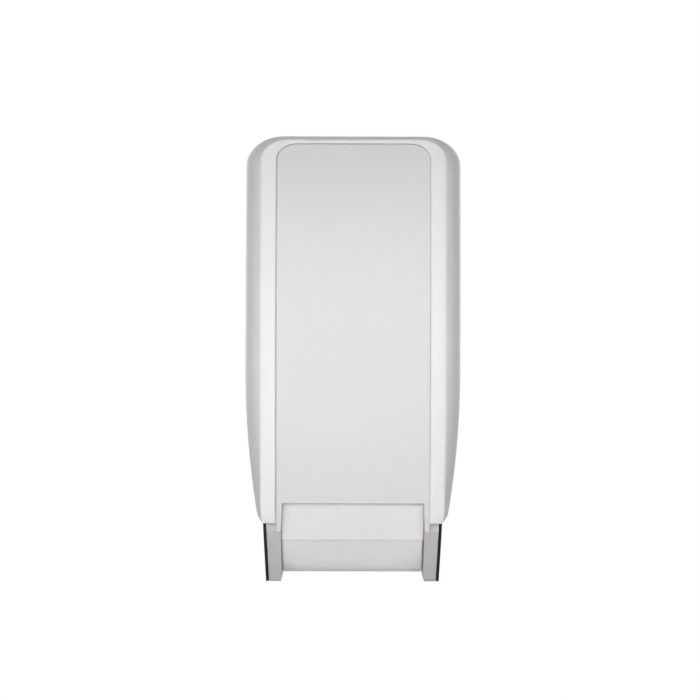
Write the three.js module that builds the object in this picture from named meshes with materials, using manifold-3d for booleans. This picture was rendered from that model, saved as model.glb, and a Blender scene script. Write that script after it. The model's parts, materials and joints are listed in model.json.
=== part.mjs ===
// Wall-mounted toilet roll dispenser for two rolls, one above the other, in millimetres.
// X runs across, +Y points into the wall, +Z points up. A depth is measured out from the wall,
// so a point at depth d lies at y = -d. Heights start at the tips of the two arms.
import * as THREE from 'three';
import { mergeVertices } from 'three/addons/utils/BufferGeometryUtils.js';
import Module from 'manifold-3d';

const wasm = await Module();
wasm.setup();

// Fits and working values
const fitGap = 0.3;             // between pieces that touch
const runGap = 0.5;             // beside a piece that turns
const cutOverrun = 20;          // how far a cutter runs past what it cuts
const weldTolerance = 1e-4;
const degree = Math.PI / 180;

// Paper
const paperWidth = 97;
const paperRadius = 60;
const coreRadius = 20;
const coreWall = 1.2;
const rollFootHeight = 5.5;     // lower roll's underside above the arm tips
const rollWallSpace = 12;       // behind the rolls
const rollSpacing = 10;         // between the two rolls
const rollEndSpace = 0.9;       // roll's end to the arm
const tailStartAngle = 24 * degree;
const tailEndAngle = -38 * degree;
const tailLift = 1.5;           // free edge of the hanging sheet off the roll
const tailThickness = 0.4;

// Spindle plugs
const pinRadius = 5;
const pinLength = 8.8;
const pinChamfer = 0.8;
const plugFlangeRadius = 24;
const plugFlange = 1;             // sunk into the soft end of the roll
const plugHubLength = 14;
const plugHubWall = 1.8;
const plugRibWall = 1.2;
const plugRibs = 6;

// Cover
const coverWall = 2.5;
const coverFootHeight = 42;
const lockSpace = 51;           // over the upper roll, for the lock
const frontSpace = 18;          // full roll to the cover's most forward point
const frontSag = 18.4;          // how far the bowed front falls back at the top
const apexShare = 0.48;         // place of the bow's most forward point on the cover's height
const seamReach = 3.8;          // panel's seam outside the arms' inner faces
const bandWidth = 10.2;
const bandDrop = 1.8;           // band's outer edge behind the front panel
const sideReach = 11;           // band's outer edge to where the rounding ends
const sideDraft = 3.1;          // how far the sides spread from there to the wall
const sideRoundDepth = 31;
const bandTopDrop = 2.8;
const panelTopDrop = 5.4;
const topRoundDepth = 4;
const edgeStartAngle = 42 * degree;
const outlineCorner = { wide: 26.5, high: 19.4 };
const bandCorner = { wide: 18.6, high: 13.5 };
const panelCorner = { wide: 15, high: 11.5 };
const taperHeight = 150;        // the sides draw in below this height
const footDrawIn = 8.95;       // how far they have drawn in at the cover's foot
const coverFootCorner = 3.5;
const coverRearSpace = 0.5;     // rear edge to the wall

// Front panel and its window
const panelThickness = 2;
const panelLedge = 1.8;         // shell floor that carries the panel
const ledgeWidth = 8;
const ledgeFootSpace = 4;       // floor's foot above the panel's lip
const windowTopHeight = 55.9;
const windowSpaceTop = 0;       // beside the paper
const windowSpaceFoot = 0.8;
const tabFootHeight = 36.4;
const lipDepth = 3.6;
const lipThickness = 1.6;
const hookWidth = 12;
const hookThickness = 1.8;
const hookBarb = 1.4;
const hookShares = [0.2, 0.78]; // heights of the panel hooks on the panel's own height

// Arms: grey trims inside black cheeks
const armWidth = 10.2;
const armInnerLean = 0.4;       // how far the arms draw in from knee to tip
const armOuterLean = 1.7;
const armTipDepth = 103;
const armTipRound = 3;
const armFrontSpace = 3;        // behind the panel's tabs
const armChamfer = { wide: 0.8, high: 5 };
const armFrontBow = 2;          // bow of the arm's sloping front
const shoulderRise = 5;         // above the cover's foot
const neckDrop = 24;            // how far the arm steps back inside the cover
const neckHeight = 78;
const headWidth = 14.6;         // in front of the channel
const headRise = 25.5;          // above the upper seat
const headRound = 6;
const trimWall = 2.4;
const trimFrontWall = 3.6;
const channelPlay = 0.4;
const channelLip = 2;
const channelLipHeight = 4;
const channelFlare = 9;
const cheekSkin = 2;
const cheekSetback = 5;         // black front edge behind the grey one
const cheekTipDrop = 0.4;       // grey tip above the black one
const cheekRearFootHeight = 4;
const cheekFlange = 4;
const cheekFlangeWidth = 9.3;
const cheekFlangeFoot = 32;

// Wall plate
const plateThickness = 3;
const plateFootHeight = 24;
const plateCorner = 8;
const plateEdge = 1.4;          // plate beyond the cheek screws' flange
const plateRib = 2;
const plateRibHeight = 3;
const plateLevelRibs = 3;
const ribOffset = 22;
const keyholeHalfSpacing = 35;
const keyholeHead = 5;
const keyholeShank = 2.5;
const keyholeDrop = 9;
const keyholeShares = [0.2, 0.82]; // heights of the keyholes on the plate's own height
const keyholeBoss = 3;

// Screws
const screwRadius = 1.9;
const screwHeadRadius = 3.6;
const screwHeadHeight = 1.9;
const screwBossWall = 2;
const screwRecess = 0.9;
const screwRecessWidth = 1;
const screwRecessShare = 0.62;  // cross recess on the head's radius
const plainScrew = { radius: screwRadius, headRadius: screwHeadRadius, headHeight: screwHeadHeight };
const cheekScrewShares = [0.16, 0.86];

// Hinge
const hingeDepth = 12;
const hingeSweep = 11.5;        // cover's lower rear corner round the hinge
const hingePinRadius = 2.5;
const hingeHeadRadius = 4.5;
const hingeHead = 1.4;
const hingeBossRadius = 7;
const hingeBoss = 2.3;
const hingeLugRadius = 8;
const hingeLugDepth = 2.2;

// Reserve roll catches
const shaftDepth = 15;
const shaftBelowSeat = 51.5;
const shaftRadius = 3;
const shaftBoss = 2.6;
const catchThickness = 4;
const catchArmWidth = 10;
const catchHub = 3.1;
const catchNoseDepth = 11;
const catchNoseHeight = 15;     // along its outer edge
const catchReleaseAngle = 8 * degree;
const legWidth = 7;
const barHeight = 10;
const barRadius = 2.5;
const barBossWall = 1.8;
const barEnd = 0.5;

// Catch spring
const wireRadius = 0.6;
const springPlay = 0.5;
const springPitch = 2;
const springTurns = 6;
const springLegLength = 12;
const springPegRadius = 1.5;
const springPegReach = 8.5;
const springPadWidth = 8;

// Lock in the cover's top
const lockDepth = 24;
const lockBarrelRadius = 8;
const lockBarrelLength = 12;
const lockFlangeRadius = 10.5;
const lockFlange = 1.5;
const lockPlugRadius = 5.7;
const lockPlugSink = 0.5;
const keySlot = { long: 7, wide: 1.8, deep: 4 };
const nutRadius = 11.5;
const nutThickness = 3;
const nutSides = 6;
const camLength = 17;
const camWidth = 8;
const camThickness = 2;
const camHubRadius = 6;
const camTang = 2.6;            // half side of the square tang
const camScrewRadius = 1.4;
const camScrewHead = 1.8;
const keeperSpace = 9;          // keeper lip beside the lock's middle
const keeperLength = 11;
const keeperThickness = 2.5;
const keeperRise = 3.4;         // lip above the cam
const keeperHalf = 24;

// How finely round shapes are divided
const round = 24;
const smallRound = 12;
const rollRound = 64;
const coreRound = 32;
const curveSteps = 4;
const sideRows = 14;
const cornerRows = 7;
const edgeRings = 5;
const arcRows = 18;
const tailRows = 18;
const springSteps = 8;          // along one curl
const wireSides = 5;

// Places that follow from the sizes above
const rollDepth = rollWallSpace + paperRadius;
const lowerHeight = rollFootHeight + paperRadius;
const upperHeight = lowerHeight + 2 * paperRadius + rollSpacing;
const coverTopHeight = upperHeight + paperRadius + lockSpace + coverWall;
const frontDepth = rollDepth + paperRadius + frontSpace;
const apexHeight = coverFootHeight + apexShare * (coverTopHeight - coverFootHeight);
const frontRise = coverTopHeight - apexHeight;
const frontRadius = (frontRise ** 2 + frontSag ** 2) / (2 * frontSag);
const armInnerHalf = paperWidth / 2 + rollEndSpace;
const panelHalf = armInnerHalf + seamReach;
const windowHalfTop = paperWidth / 2 + windowSpaceTop;
const windowHalfFoot = paperWidth / 2 + windowSpaceFoot;
const bandHalf = panelHalf + bandWidth;
const taperDrop = taperHeight - coverFootHeight;
const taperRadius = (taperDrop ** 2 + footDrawIn ** 2) / (2 * footDrawIn);
const widestHalf = bandHalf + sideReach + sideDraft;
const sideEndDepth = frontDepthAt(coverFootHeight) - bandDrop - sideRoundDepth;
const panelSink = panelThickness + fitGap;
const cavityInset = panelSink + panelLedge;
const armOuterHalf = armInnerHalf + armWidth;
const cheekInnerHalf = armOuterHalf + fitGap;
const cheekOuterHalf = cheekInnerHalf + cheekSkin;
const catchOuterHalf = cheekInnerHalf - fitGap - hingeHead - runGap;
const catchInnerHalf = catchOuterHalf - catchThickness;
const armTopHeight = upperHeight + headRise;
const shoulderHeight = coverFootHeight + shoulderRise;
const shoulderDepth = frontDepthAt(tabFootHeight) - panelThickness - armFrontSpace;
const headDepth = rollDepth + pinRadius + headWidth;
const neckDepth = shoulderDepth - neckDrop;
const flangeDepth = plateThickness + fitGap;
const hingeHeight = coverFootHeight + hingeSweep;
const shaftHeight = upperHeight - shaftBelowSeat;
const barrelFoot = coverTopHeight - coverWall - lockBarrelLength;
const camTop = barrelFoot - 2 * fitGap;
const camFoot = camTop - camThickness;
const plateTopHeight = camFoot - camScrewHead - 3 * fitGap;
const plateHalf = armOuterHalf + plateEdge;
const barSwing = Math.sin(catchReleaseAngle) * (shaftHeight - barHeight);
const trimRearDepth = shaftDepth + barSwing + barRadius + 2 * runGap;
const cheekScrewX = cheekInnerHalf - cheekFlangeWidth / 2;

/** Depth of the cover's bowed front at a height. */
function frontDepthAt(height) {
  const fall = height - apexHeight;
  return frontDepth - frontRadius + Math.sqrt(frontRadius ** 2 - fall ** 2);
}

// Solids and cutters
/** Welds a closed geometry and hands it over for cutting and joining. */
function solid(geometry) {
  const bare = geometry.clone();
  bare.deleteAttribute('normal');
  bare.deleteAttribute('uv');
  const welded = mergeVertices(bare, weldTolerance);
  return new wasm.Manifold(new wasm.Mesh({
    numProp: 3,
    vertProperties: new Float32Array(welded.attributes.position.array),
    triVerts: new Uint32Array(welded.index.array),
  }));
}

/** Turns a finished solid back into a geometry. */
function geometryOf(body) {
  const mesh = body.getMesh();
  const geometry = new THREE.BufferGeometry();
  geometry.setAttribute('position', new THREE.BufferAttribute(mesh.vertProperties, mesh.numProp));
  geometry.setIndex(new THREE.BufferAttribute(mesh.triVerts, 1));
  geometry.computeVertexNormals();
  return geometry;
}

/** Places an extruded outline: its own X, Y and depth go to the three given directions. */
function extruded(shape, length, toX, toY, toZ, origin) {
  const options = { depth: length, bevelEnabled: false, curveSegments: curveSteps };
  const geometry = new THREE.ExtrudeGeometry(shape, options);
  const turn = new THREE.Matrix4().makeBasis(toX, toY, toZ).setPosition(origin);
  return solid(geometry.applyMatrix4(turn));
}

const right = new THREE.Vector3(1, 0, 0);
const inward = new THREE.Vector3(0, 1, 0);
const up = new THREE.Vector3(0, 0, 1);
const left = right.clone().negate();
const outward = inward.clone().negate();
const down = up.clone().negate();

/** Side-view outline of (depth, height) points, run across from one x to another. */
function acrossPrism(shape, fromX, toX) {
  return extruded(shape, toX - fromX, outward, up, left, new THREE.Vector3(toX, 0, 0));
}

/** Front-view outline of (x, height) points, run out between two depths. */
function outwardPrism(shape, fromDepth, toDepth) {
  return extruded(shape, toDepth - fromDepth, right, up, outward, new THREE.Vector3(0, -fromDepth, 0));
}

/** Plan outline of (x, depth) points, run down between two heights. */
function upPrism(shape, fromHeight, toHeight) {
  return extruded(shape, toHeight - fromHeight, right, outward, down, new THREE.Vector3(0, 0, toHeight));
}

/** Closed outline through straight points. */
function outline(points) {
  return new THREE.Shape(points.map(([a, b]) => new THREE.Vector2(a, b)));
}

/** Block between two corners given as x, depth and height. */
function block([x0, d0, h0], [x1, d1, h1]) {
  return outwardPrism(outline([[x0, h0], [x1, h0], [x1, h1], [x0, h1]]), d0, d1);
}

/** Round bar between two points, each given as x, depth and height. */
function rod(radius, [x0, d0, h0], [x1, d1, h1], sides = round) {
  const start = new THREE.Vector3(x0, -d0, h0);
  const end = new THREE.Vector3(x1, -d1, h1);
  const along = end.clone().sub(start);
  const geometry = new THREE.CylinderGeometry(radius, radius, along.length(), sides);
  const turn = new THREE.Quaternion().setFromUnitVectors(inward, along.clone().normalize());
  geometry.applyQuaternion(turn);
  geometry.translate(...start.add(end).multiplyScalar(0.5).toArray());
  return solid(geometry);
}

/** Mirrors a left-hand geometry to the right-hand side, turning its faces the right way again. */
function mirrored(geometry) {
  const twin = geometry.clone().scale(-1, 1, 1);
  const order = twin.index.array;
  for (let i = 0; i < order.length; i += 3) {
    [order[i], order[i + 1]] = [order[i + 1], order[i]];
  }
  twin.computeVertexNormals();
  return twin;
}

/** A cutter or a rib and its mirrored twin. */
function both(body) {
  return body.add(solid(mirrored(geometryOf(body))));
}

// Cover shell: rings of one outline, from the wall to the front, with its bowed face as a cap
/** Rows of one ring from foot to top: half width, height and the share of the corner gone round. */
function ringRows(halfAt, footHeight, topHeight, corner) {
  const rows = [];
  const cornerFoot = topHeight - corner.high;
  for (let i = 0; i <= sideRows; i += 1) {
    const height = footHeight + (cornerFoot - footHeight) * (i / sideRows);
    rows.push({ half: halfAt(height), height, turn: 0 });
  }
  for (let j = 1; j <= cornerRows; j += 1) {
    const turn = (j / cornerRows) * (Math.PI / 2);
    const height = topHeight - corner.high * (1 - Math.sin(turn));
    rows.push({ half: halfAt(cornerFoot) - corner.wide * (1 - Math.cos(turn)), height, turn });
  }
  return rows;
}

/** Closed solid through rings of rows, the first ring at the back and the last in front. */
function loft(rings) {
  const rows = rings[0].length;
  const loop = 2 * rows;
  const places = [];
  for (const ring of rings) {
    for (const { half, height, depth } of ring) places.push(-half, -depth, height);
    for (const { half, height, depth } of [...ring].reverse()) places.push(half, -depth, height);
  }
  const faces = [];
  for (let r = 0; r + 1 < rings.length; r += 1) {
    for (let k = 0; k < loop; k += 1) {
      const next = (k + 1) % loop;
      const [a, b, c, d] = [r * loop + k, (r + 1) * loop + k, (r + 1) * loop + next, r * loop + next];
      faces.push(a, b, c, a, c, d);
    }
  }
  const front = (rings.length - 1) * loop;
  for (let i = 0; i + 1 < rows; i += 1) {
    const [a, b, c, d] = [i, loop - 1 - i, loop - 2 - i, i + 1];
    faces.push(front + a, front + b, front + c, front + a, front + c, front + d);
    faces.push(a, c, b, a, d, c);
  }
  const geometry = new THREE.BufferGeometry();
  geometry.setAttribute('position', new THREE.Float32BufferAttribute(places, 3));
  geometry.setIndex(faces);
  return solid(geometry);
}

const mix = (a, b, share) => a + (b - a) * share;

/** How far the sides have drawn in at a height. */
function taperAt(height) {
  const below = Math.max(0, taperHeight - height);
  return taperRadius - Math.sqrt(taperRadius ** 2 - below ** 2);
}

/** How far a side has spread at a depth, behind the row where its rounding ends. */
function draftAt(row, depth) {
  return sideDraft * (row.depth - depth) / (row.depth - coverRearSpace);
}

/** The cover's outer form, or with a wall thickness the hollow inside it. */
function coverForm(wall, faceInset, rearDepth, footHeight) {
  const bandDepthInset = wall > 0 ? faceInset : bandDrop;
  const roundTo = bandDrop + sideRoundDepth;
  const rings = [];
  for (let i = edgeRings; i >= 0; i -= 1) {
    const angle = mix(edgeStartAngle, Math.PI / 2, i / edgeRings);
    const reach = (Math.sin(angle) - Math.sin(edgeStartAngle)) / (1 - Math.sin(edgeStartAngle));
    const fall = (Math.cos(edgeStartAngle) - Math.cos(angle)) / Math.cos(edgeStartAngle);
    const corner = {
      wide: mix(bandCorner.wide, outlineCorner.wide, reach) - wall,
      high: mix(bandCorner.high, outlineCorner.high, reach) - wall,
    };
    const halfAt = (height) => bandHalf + (sideReach - taperAt(height)) * reach - wall;
    const top = coverTopHeight - bandTopDrop * (1 - reach) - wall;
    const rows = ringRows(halfAt, footHeight, top, corner);
    for (const row of rows) {
      const sideFall = (roundTo - bandDepthInset) * Math.cos(row.turn) ** 2;
      const topFall = topRoundDepth * Math.sin(row.turn) ** 2;
      row.depth = frontDepthAt(row.height) - bandDepthInset - (sideFall + topFall) * fall;
    }
    rings.push(rows);
  }
  rings.unshift(rings[0].map((row) => ({ ...row, half: row.half + draftAt(row, rearDepth), depth: rearDepth })));
  if (wall === 0) rings.push(panelRows(footHeight));
  return loft(rings);
}

/** Ring along the seam of the front panel. */
function panelRows(footHeight) {
  const rows = ringRows(() => panelHalf, footHeight, coverTopHeight - panelTopDrop, panelCorner);
  for (const row of rows) row.depth = frontDepthAt(row.height);
  return rows;
}

/** Slice of the bowed front between two insets, run across between two x values. */
function frontSlice(outerInset, innerInset, half) {
  const points = [];
  const foot = -cutOverrun;
  const top = coverTopHeight;
  for (let i = 0; i <= arcRows; i += 1) {
    const height = mix(foot, top, i / arcRows);
    points.push([frontDepthAt(height) - outerInset, height]);
  }
  for (let i = arcRows; i >= 0; i -= 1) {
    const height = mix(foot, top, i / arcRows);
    points.push([frontDepthAt(height) - innerInset, height]);
  }
  return acrossPrism(outline(points), -half, half);
}

/** Front-view outline with a square foot and rounded top corners. */
function archOutline(half, foot, top, corner) {
  const shape = new THREE.Shape();
  shape.moveTo(-half, foot);
  shape.lineTo(half, foot);
  shape.lineTo(half, top - corner.high);
  shape.absellipse(half - corner.wide, top - corner.high, corner.wide, corner.high, 0, Math.PI / 2);
  shape.lineTo(-half + corner.wide, top);
  shape.absellipse(-half + corner.wide, top - corner.high, corner.wide, corner.high, Math.PI / 2, Math.PI);
  shape.lineTo(-half, foot);
  return shape;
}

/** Opening under the front panel's lip, widening towards its foot. */
function windowCutter(extra, topHeight) {
  const slope = (windowHalfFoot - windowHalfTop) / (windowTopHeight - tabFootHeight);
  const foot = -cutOverrun;
  const halfAt = (height) => windowHalfTop + (windowTopHeight - height) * slope + extra;
  const low = halfAt(foot);
  const high = halfAt(topHeight);
  const sides = outline([[-low, foot], [low, foot], [high, topHeight], [-high, topHeight]]);
  return outwardPrism(sides, neckDepth, frontDepth + cutOverrun);
}

/** Rear-lower corner of the cover, rounded about the hinge so that it turns clear of the wall. */
function coverSideRegion() {
  const far = frontDepth + cutOverrun;
  const high = coverTopHeight + cutOverrun;
  const shape = new THREE.Shape();
  shape.moveTo(hingeDepth, coverFootHeight);
  shape.lineTo(far, coverFootHeight);
  shape.lineTo(far, high);
  shape.lineTo(coverRearSpace, high);
  shape.lineTo(hingeDepth - hingeSweep, hingeHeight);
  shape.absarc(hingeDepth, hingeHeight, hingeSweep, Math.PI, 1.5 * Math.PI);
  return acrossPrism(shape, -widestHalf - cutOverrun, widestHalf + cutOverrun);
}

/** What is left outside the rounded bottom corners, which follow the sides' draft. */
function footCornerCutter() {
  const half = bandHalf + sideReach - taperAt(coverFootHeight);
  const slope = sideDraft / (sideEndDepth - coverRearSpace);
  const far = half + cutOverrun;
  const low = coverFootHeight - cutOverrun;
  const shape = new THREE.Shape();
  shape.moveTo(half - coverFootCorner, low);
  shape.lineTo(far, low);
  shape.lineTo(far, coverFootHeight + coverFootCorner);
  shape.lineTo(half, coverFootHeight + coverFootCorner);
  const middle = [half - coverFootCorner, coverFootHeight + coverFootCorner];
  shape.absarc(...middle, coverFootCorner, 0, -Math.PI / 2, true);
  const along = new THREE.Vector3(-slope, -1, 0);
  const start = new THREE.Vector3(slope * (sideEndDepth + cutOverrun), cutOverrun, 0);
  return both(extruded(shape, frontDepth + 2 * cutOverrun, right, up, along, start));
}

function coverShell() {
  const foot = coverFootHeight - cutOverrun;
  const form = coverForm(0, 0, coverRearSpace, foot);
  const hollow = coverForm(coverWall, cavityInset, -cutOverrun, foot - cutOverrun);
  let shell = form.subtract(hollow);
  const seam = archOutline(panelHalf, foot - cutOverrun, coverTopHeight - panelTopDrop, panelCorner);
  const recess = frontSlice(-cutOverrun, panelSink, panelHalf);
  shell = shell.subtract(recess.intersect(outwardPrism(seam, 0, frontDepth + cutOverrun)));
  for (const height of hookHeights()) {
    shell = shell.subtract(both(hookSlot(height)));
  }
  shell = shell.subtract(windowCutter(fitGap, windowTopHeight + lipThickness + ledgeFootSpace));
  shell = shell.add(hingeLugs().intersect(form));
  shell = shell.intersect(coverSideRegion()).subtract(footCornerCutter());
  shell = shell.subtract(hingeBores());
  const barrelHole = rod(lockBarrelRadius + fitGap, [0, lockDepth, coverTopHeight - cutOverrun],
    [0, lockDepth, coverTopHeight + cutOverrun]);
  return geometryOf(shell.subtract(barrelHole));
}

/** Point on the hinge's axis. */
const hingeAt = (x) => [x, hingeDepth, hingeHeight];

/** The two lugs inside the cover's walls that turn on the hinge pins. */
function hingeLugs() {
  const inner = cheekOuterHalf + hingeBoss + fitGap;
  return both(rod(hingeLugRadius, hingeAt(-widestHalf), hingeAt(-inner)));
}

function hingeBores() {
  const end = cheekOuterHalf + hingeBoss + fitGap + hingeLugDepth + fitGap;
  return both(rod(hingePinRadius + fitGap, hingeAt(-end), hingeAt(-cheekOuterHalf)));
}

/** Clip-in front panel with its window lip, two tabs and four hooks. */
function frontPanel() {
  const half = panelHalf - fitGap;
  const corner = { wide: panelCorner.wide - fitGap, high: panelCorner.high - fitGap };
  const top = coverTopHeight - panelTopDrop - fitGap;
  const plan = outwardPrism(archOutline(half, tabFootHeight, top, corner), 0, frontDepth + cutOverrun);
  let panel = frontSlice(0, panelThickness, half).intersect(plan);
  panel = panel.subtract(windowCutter(0, windowTopHeight));
  const lipFace = frontDepthAt(windowTopHeight + lipThickness) - panelThickness / 2;
  panel = panel.add(block([-windowHalfTop, frontDepthAt(windowTopHeight) - lipDepth, windowTopHeight],
    [windowHalfTop, lipFace, windowTopHeight + lipThickness]));
  for (const height of hookHeights()) {
    panel = panel.add(both(panelHook(height)));
  }
  return geometryOf(panel);
}

function hookHeights() {
  return hookShares.map((share) => mix(windowTopHeight, coverTopHeight - panelTopDrop, share));
}

/** Slot in the shell for one hook of the panel. */
function hookSlot(height) {
  const outer = panelHalf - ledgeWidth;
  const half = hookWidth / 2 + fitGap;
  const inner = outer - hookThickness - 2 * fitGap;
  return block([-outer, neckDepth, height - half], [-inner, frontDepth + cutOverrun, height + half]);
}

/** One hook through its slot, with its barb behind the shell. */
function panelHook(height) {
  const outer = panelHalf - ledgeWidth - fitGap;
  const inner = outer - hookThickness;
  const low = height - hookWidth / 2;
  const high = height + hookWidth / 2;
  const face = frontDepthAt(height) - panelThickness / 2;
  const behind = Math.min(frontDepthAt(low), frontDepthAt(high)) - cavityInset - fitGap;
  const stem = block([-outer, behind - hookThickness, low], [-inner, face, high]);
  return stem.add(block([-outer - hookBarb, behind - hookThickness, low], [-inner, behind, high]));
}

// Arms
/** Half width of an arm's face at a height: upright above the knee, drawn in below it. */
function leanAt(base, lean, height) {
  const below = Math.max(0, coverFootHeight - height);
  return base - lean * (below / coverFootHeight);
}

/** Front-view band of the left arm between two half widths, as deep as the whole arm. */
function armBand(inner, outer, chamfer, innerLean = armInnerLean) {
  const top = armTopHeight + cutOverrun;
  const low = -cutOverrun;
  const chamferTop = leanAt(inner, innerLean, chamfer.high);
  const points = [
    [-inner, top], [-inner, coverFootHeight], [-chamferTop, chamfer.high],
    [-chamferTop - chamfer.wide, 0], [-chamferTop - chamfer.wide, low],
    [-leanAt(outer, armOuterLean, low), low], [-outer, coverFootHeight], [-outer, top],
  ];
  return outwardPrism(outline(points.reverse()), -cutOverrun, frontDepth);
}

/** Side view of an arm. Insets draw in its front, its foot and its top. */
function armSide(rear, rearFoot, frontInset, footInset, topInset) {
  const shape = new THREE.Shape();
  const tip = armTipDepth - frontInset;
  const shoulder = shoulderDepth - frontInset;
  const neck = neckDepth - frontInset;
  const head = headDepth - frontInset;
  const top = armTopHeight - topInset;
  const slope = (shoulder - tip) / tabFootHeight;
  const tipTop = footInset + armTipRound;
  const middle = (tabFootHeight + footInset) / 2;
  const waist = (shoulderHeight + neckHeight) / 2;
  shape.moveTo(rear, rearFoot + footInset);
  shape.lineTo(tip - armTipRound, footInset);
  shape.quadraticCurveTo(tip + slope * footInset, footInset, tip + slope * tipTop, tipTop);
  shape.quadraticCurveTo(tip + slope * middle + armFrontBow, middle, shoulder, tabFootHeight);
  shape.lineTo(shoulder, shoulderHeight - topInset);
  shape.bezierCurveTo(shoulder, waist, neck, waist, neck, neckHeight);
  shape.lineTo(head, top - headRound);
  shape.quadraticCurveTo(head, top, head - headRound, top);
  shape.lineTo(rear, top);
  return shape;
}

/** Slot for the spindle pins, open and flared at the top, with a round seat at the foot. */
function channelShape(half) {
  const top = armTopHeight;
  const seat = lowerHeight + channelPlay - fitGap;
  const shape = new THREE.Shape();
  shape.moveTo(rollDepth - half, top + cutOverrun);
  shape.lineTo(rollDepth - half, seat);
  shape.absarc(rollDepth, seat, half, Math.PI, 2 * Math.PI);
  shape.lineTo(rollDepth + half, top - channelFlare);
  shape.lineTo(rollDepth + half + channelFlare, top);
  shape.lineTo(rollDepth + half + channelFlare, top + cutOverrun);
  return shape;
}

/** Grey arm trim: an open-backed moulding with the channel that guides the spindle pins. */
function armTrim() {
  const faceBack = armInnerHalf + trimWall;
  const side = armSide(trimRearDepth, cheekTipDrop, 0, cheekTipDrop, 0);
  const hollowSide = armSide(-cutOverrun, 0, trimFrontWall, trimWall + cheekTipDrop, trimWall);
  const hollowBand = armBand(faceBack, armOuterHalf + cutOverrun, { wide: 0, high: armChamfer.high });
  const form = acrossPrism(side, -widestHalf, 0).intersect(armBand(armInnerHalf, armOuterHalf, armChamfer));
  let trim = form.subtract(acrossPrism(hollowSide, -widestHalf, 0).intersect(hollowBand));
  const half = pinRadius + channelPlay;
  const lip = acrossPrism(channelShape(half + channelLip), -faceBack - channelLipHeight, -faceBack + fitGap);
  trim = trim.add(lip.intersect(form));
  for (const [depth, height] of trimScrewPlaces()) {
    const at = (x) => [-x, depth, height];
    trim = trim.add(rod(screwRadius + screwBossWall, at(armOuterHalf), at(faceBack - fitGap), smallRound));
    trim = trim.subtract(rod(screwRadius + fitGap, at(armOuterHalf + fitGap), at(faceBack), smallRound));
  }
  trim = trim.subtract(acrossPrism(channelShape(half), -widestHalf, 0));
  return geometryOf(trim.subtract(noseWindow()));
}

/** Gap in the channel's rear lip that the catch's nose comes through. */
function noseWindow() {
  const rear = rollDepth - pinRadius - channelPlay - channelLip - runGap;
  const front = rollDepth;
  const nose = catchPlaces();
  const low = shaftHeight + nose.outerRadius * Math.sin(nose.lowAngle) - catchArmWidth;
  const high = shaftHeight + nose.outerRadius * Math.sin(nose.highAngle + catchReleaseAngle) + runGap;
  return block([-cheekInnerHalf, rear, low], [-armInnerHalf - trimWall, front, high]);
}

function trimScrewPlaces() {
  const boss = screwRadius + screwBossWall;
  return [
    [headDepth - trimFrontWall - boss, armTopHeight - trimWall - channelFlare - 2 * boss],
    [neckDepth - trimFrontWall - boss, neckHeight - 2 * boss],
  ];
}

/** Black cheek: the arm's outer skin, with a rear flange, a hinge boss and a shaft boss. */
function cheek() {
  const skinSide = armSide(flangeDepth, cheekRearFootHeight, cheekSetback, 0, 0);
  const skinBand = armBand(cheekInnerHalf, cheekOuterHalf, { wide: 0, high: armChamfer.high }, armOuterLean);
  const skinMiddle = cheekInnerHalf + cheekSkin / 2;
  const flangeFace = flangeDepth + cheekFlange;
  let body = acrossPrism(skinSide, -widestHalf, 0).intersect(skinBand);
  body = body.add(block([-skinMiddle, flangeDepth, cheekFlangeFoot],
    [-cheekInnerHalf + cheekFlangeWidth, flangeFace, armTopHeight]));
  body = body.add(rod(hingeBossRadius, hingeAt(-cheekOuterHalf - hingeBoss), hingeAt(-skinMiddle)));
  const shaftWall = shaftRadius + fitGap + shaftBoss;
  body = body.add(rod(shaftWall, shaftAt(-skinMiddle), shaftAt(-catchOuterHalf - runGap)));
  body = body.subtract(rod(hingePinRadius + fitGap, hingeAt(-widestHalf), hingeAt(-cheekInnerHalf + fitGap)));
  body = body.subtract(rod(shaftRadius + fitGap, shaftAt(-skinMiddle), shaftAt(0)));
  for (const height of cheekScrewHeights()) {
    const at = (depth) => [-cheekScrewX, depth, height];
    const seat = flangeFace - screwHeadHeight - fitGap;
    body = body.subtract(rod(screwRadius + fitGap, at(0), at(flangeFace + fitGap), smallRound));
    body = body.subtract(rod(screwHeadRadius + fitGap, at(seat), at(flangeFace + fitGap), smallRound));
  }
  for (const [depth, height] of trimScrewPlaces()) {
    const at = (x) => [-x, depth, height];
    body = body.subtract(rod(screwRadius + fitGap, at(widestHalf), at(armInnerHalf), smallRound));
  }
  return geometryOf(body);
}

/** Point on the axis of the release shaft. */
const shaftAt = (x) => [x, shaftDepth, shaftHeight];

function cheekScrewHeights() {
  return cheekScrewShares.map((share) => mix(cheekFlangeFoot, armTopHeight, share));
}

/** Screw from the underside of its head along a direction given as x, depth and height. */
function screw(start, toward, length, size = plainScrew) {
  const at = (t) => start.map((value, i) => value + toward[i] * t);
  let body = rod(size.headRadius, at(-size.headHeight), at(0), smallRound);
  body = body.add(rod(size.radius, at(-size.headHeight / 2), at(length), smallRound));
  const reach = size.headRadius * screwRecessShare;
  for (const cut of [[reach, screwRecessWidth / 2], [screwRecessWidth / 2, reach]]) {
    const outer = at(-size.headHeight - fitGap);
    body = body.subtract(recessBar(outer, at(screwRecess - size.headHeight), toward, cut));
  }
  return geometryOf(body);
}

/** One bar of a screw's cross recess, between two points on its axis. */
function recessBar(outer, inner, toward, [first, second]) {
  const spread = toward.map((value) => (value === 0 ? null : 0));
  spread[spread.indexOf(null)] = first;
  spread[spread.indexOf(null)] = second;
  const low = outer.map((value, i) => Math.min(value, inner[i]) - spread[i]);
  const high = outer.map((value, i) => Math.max(value, inner[i]) + spread[i]);
  return block(low, high);
}

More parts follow.
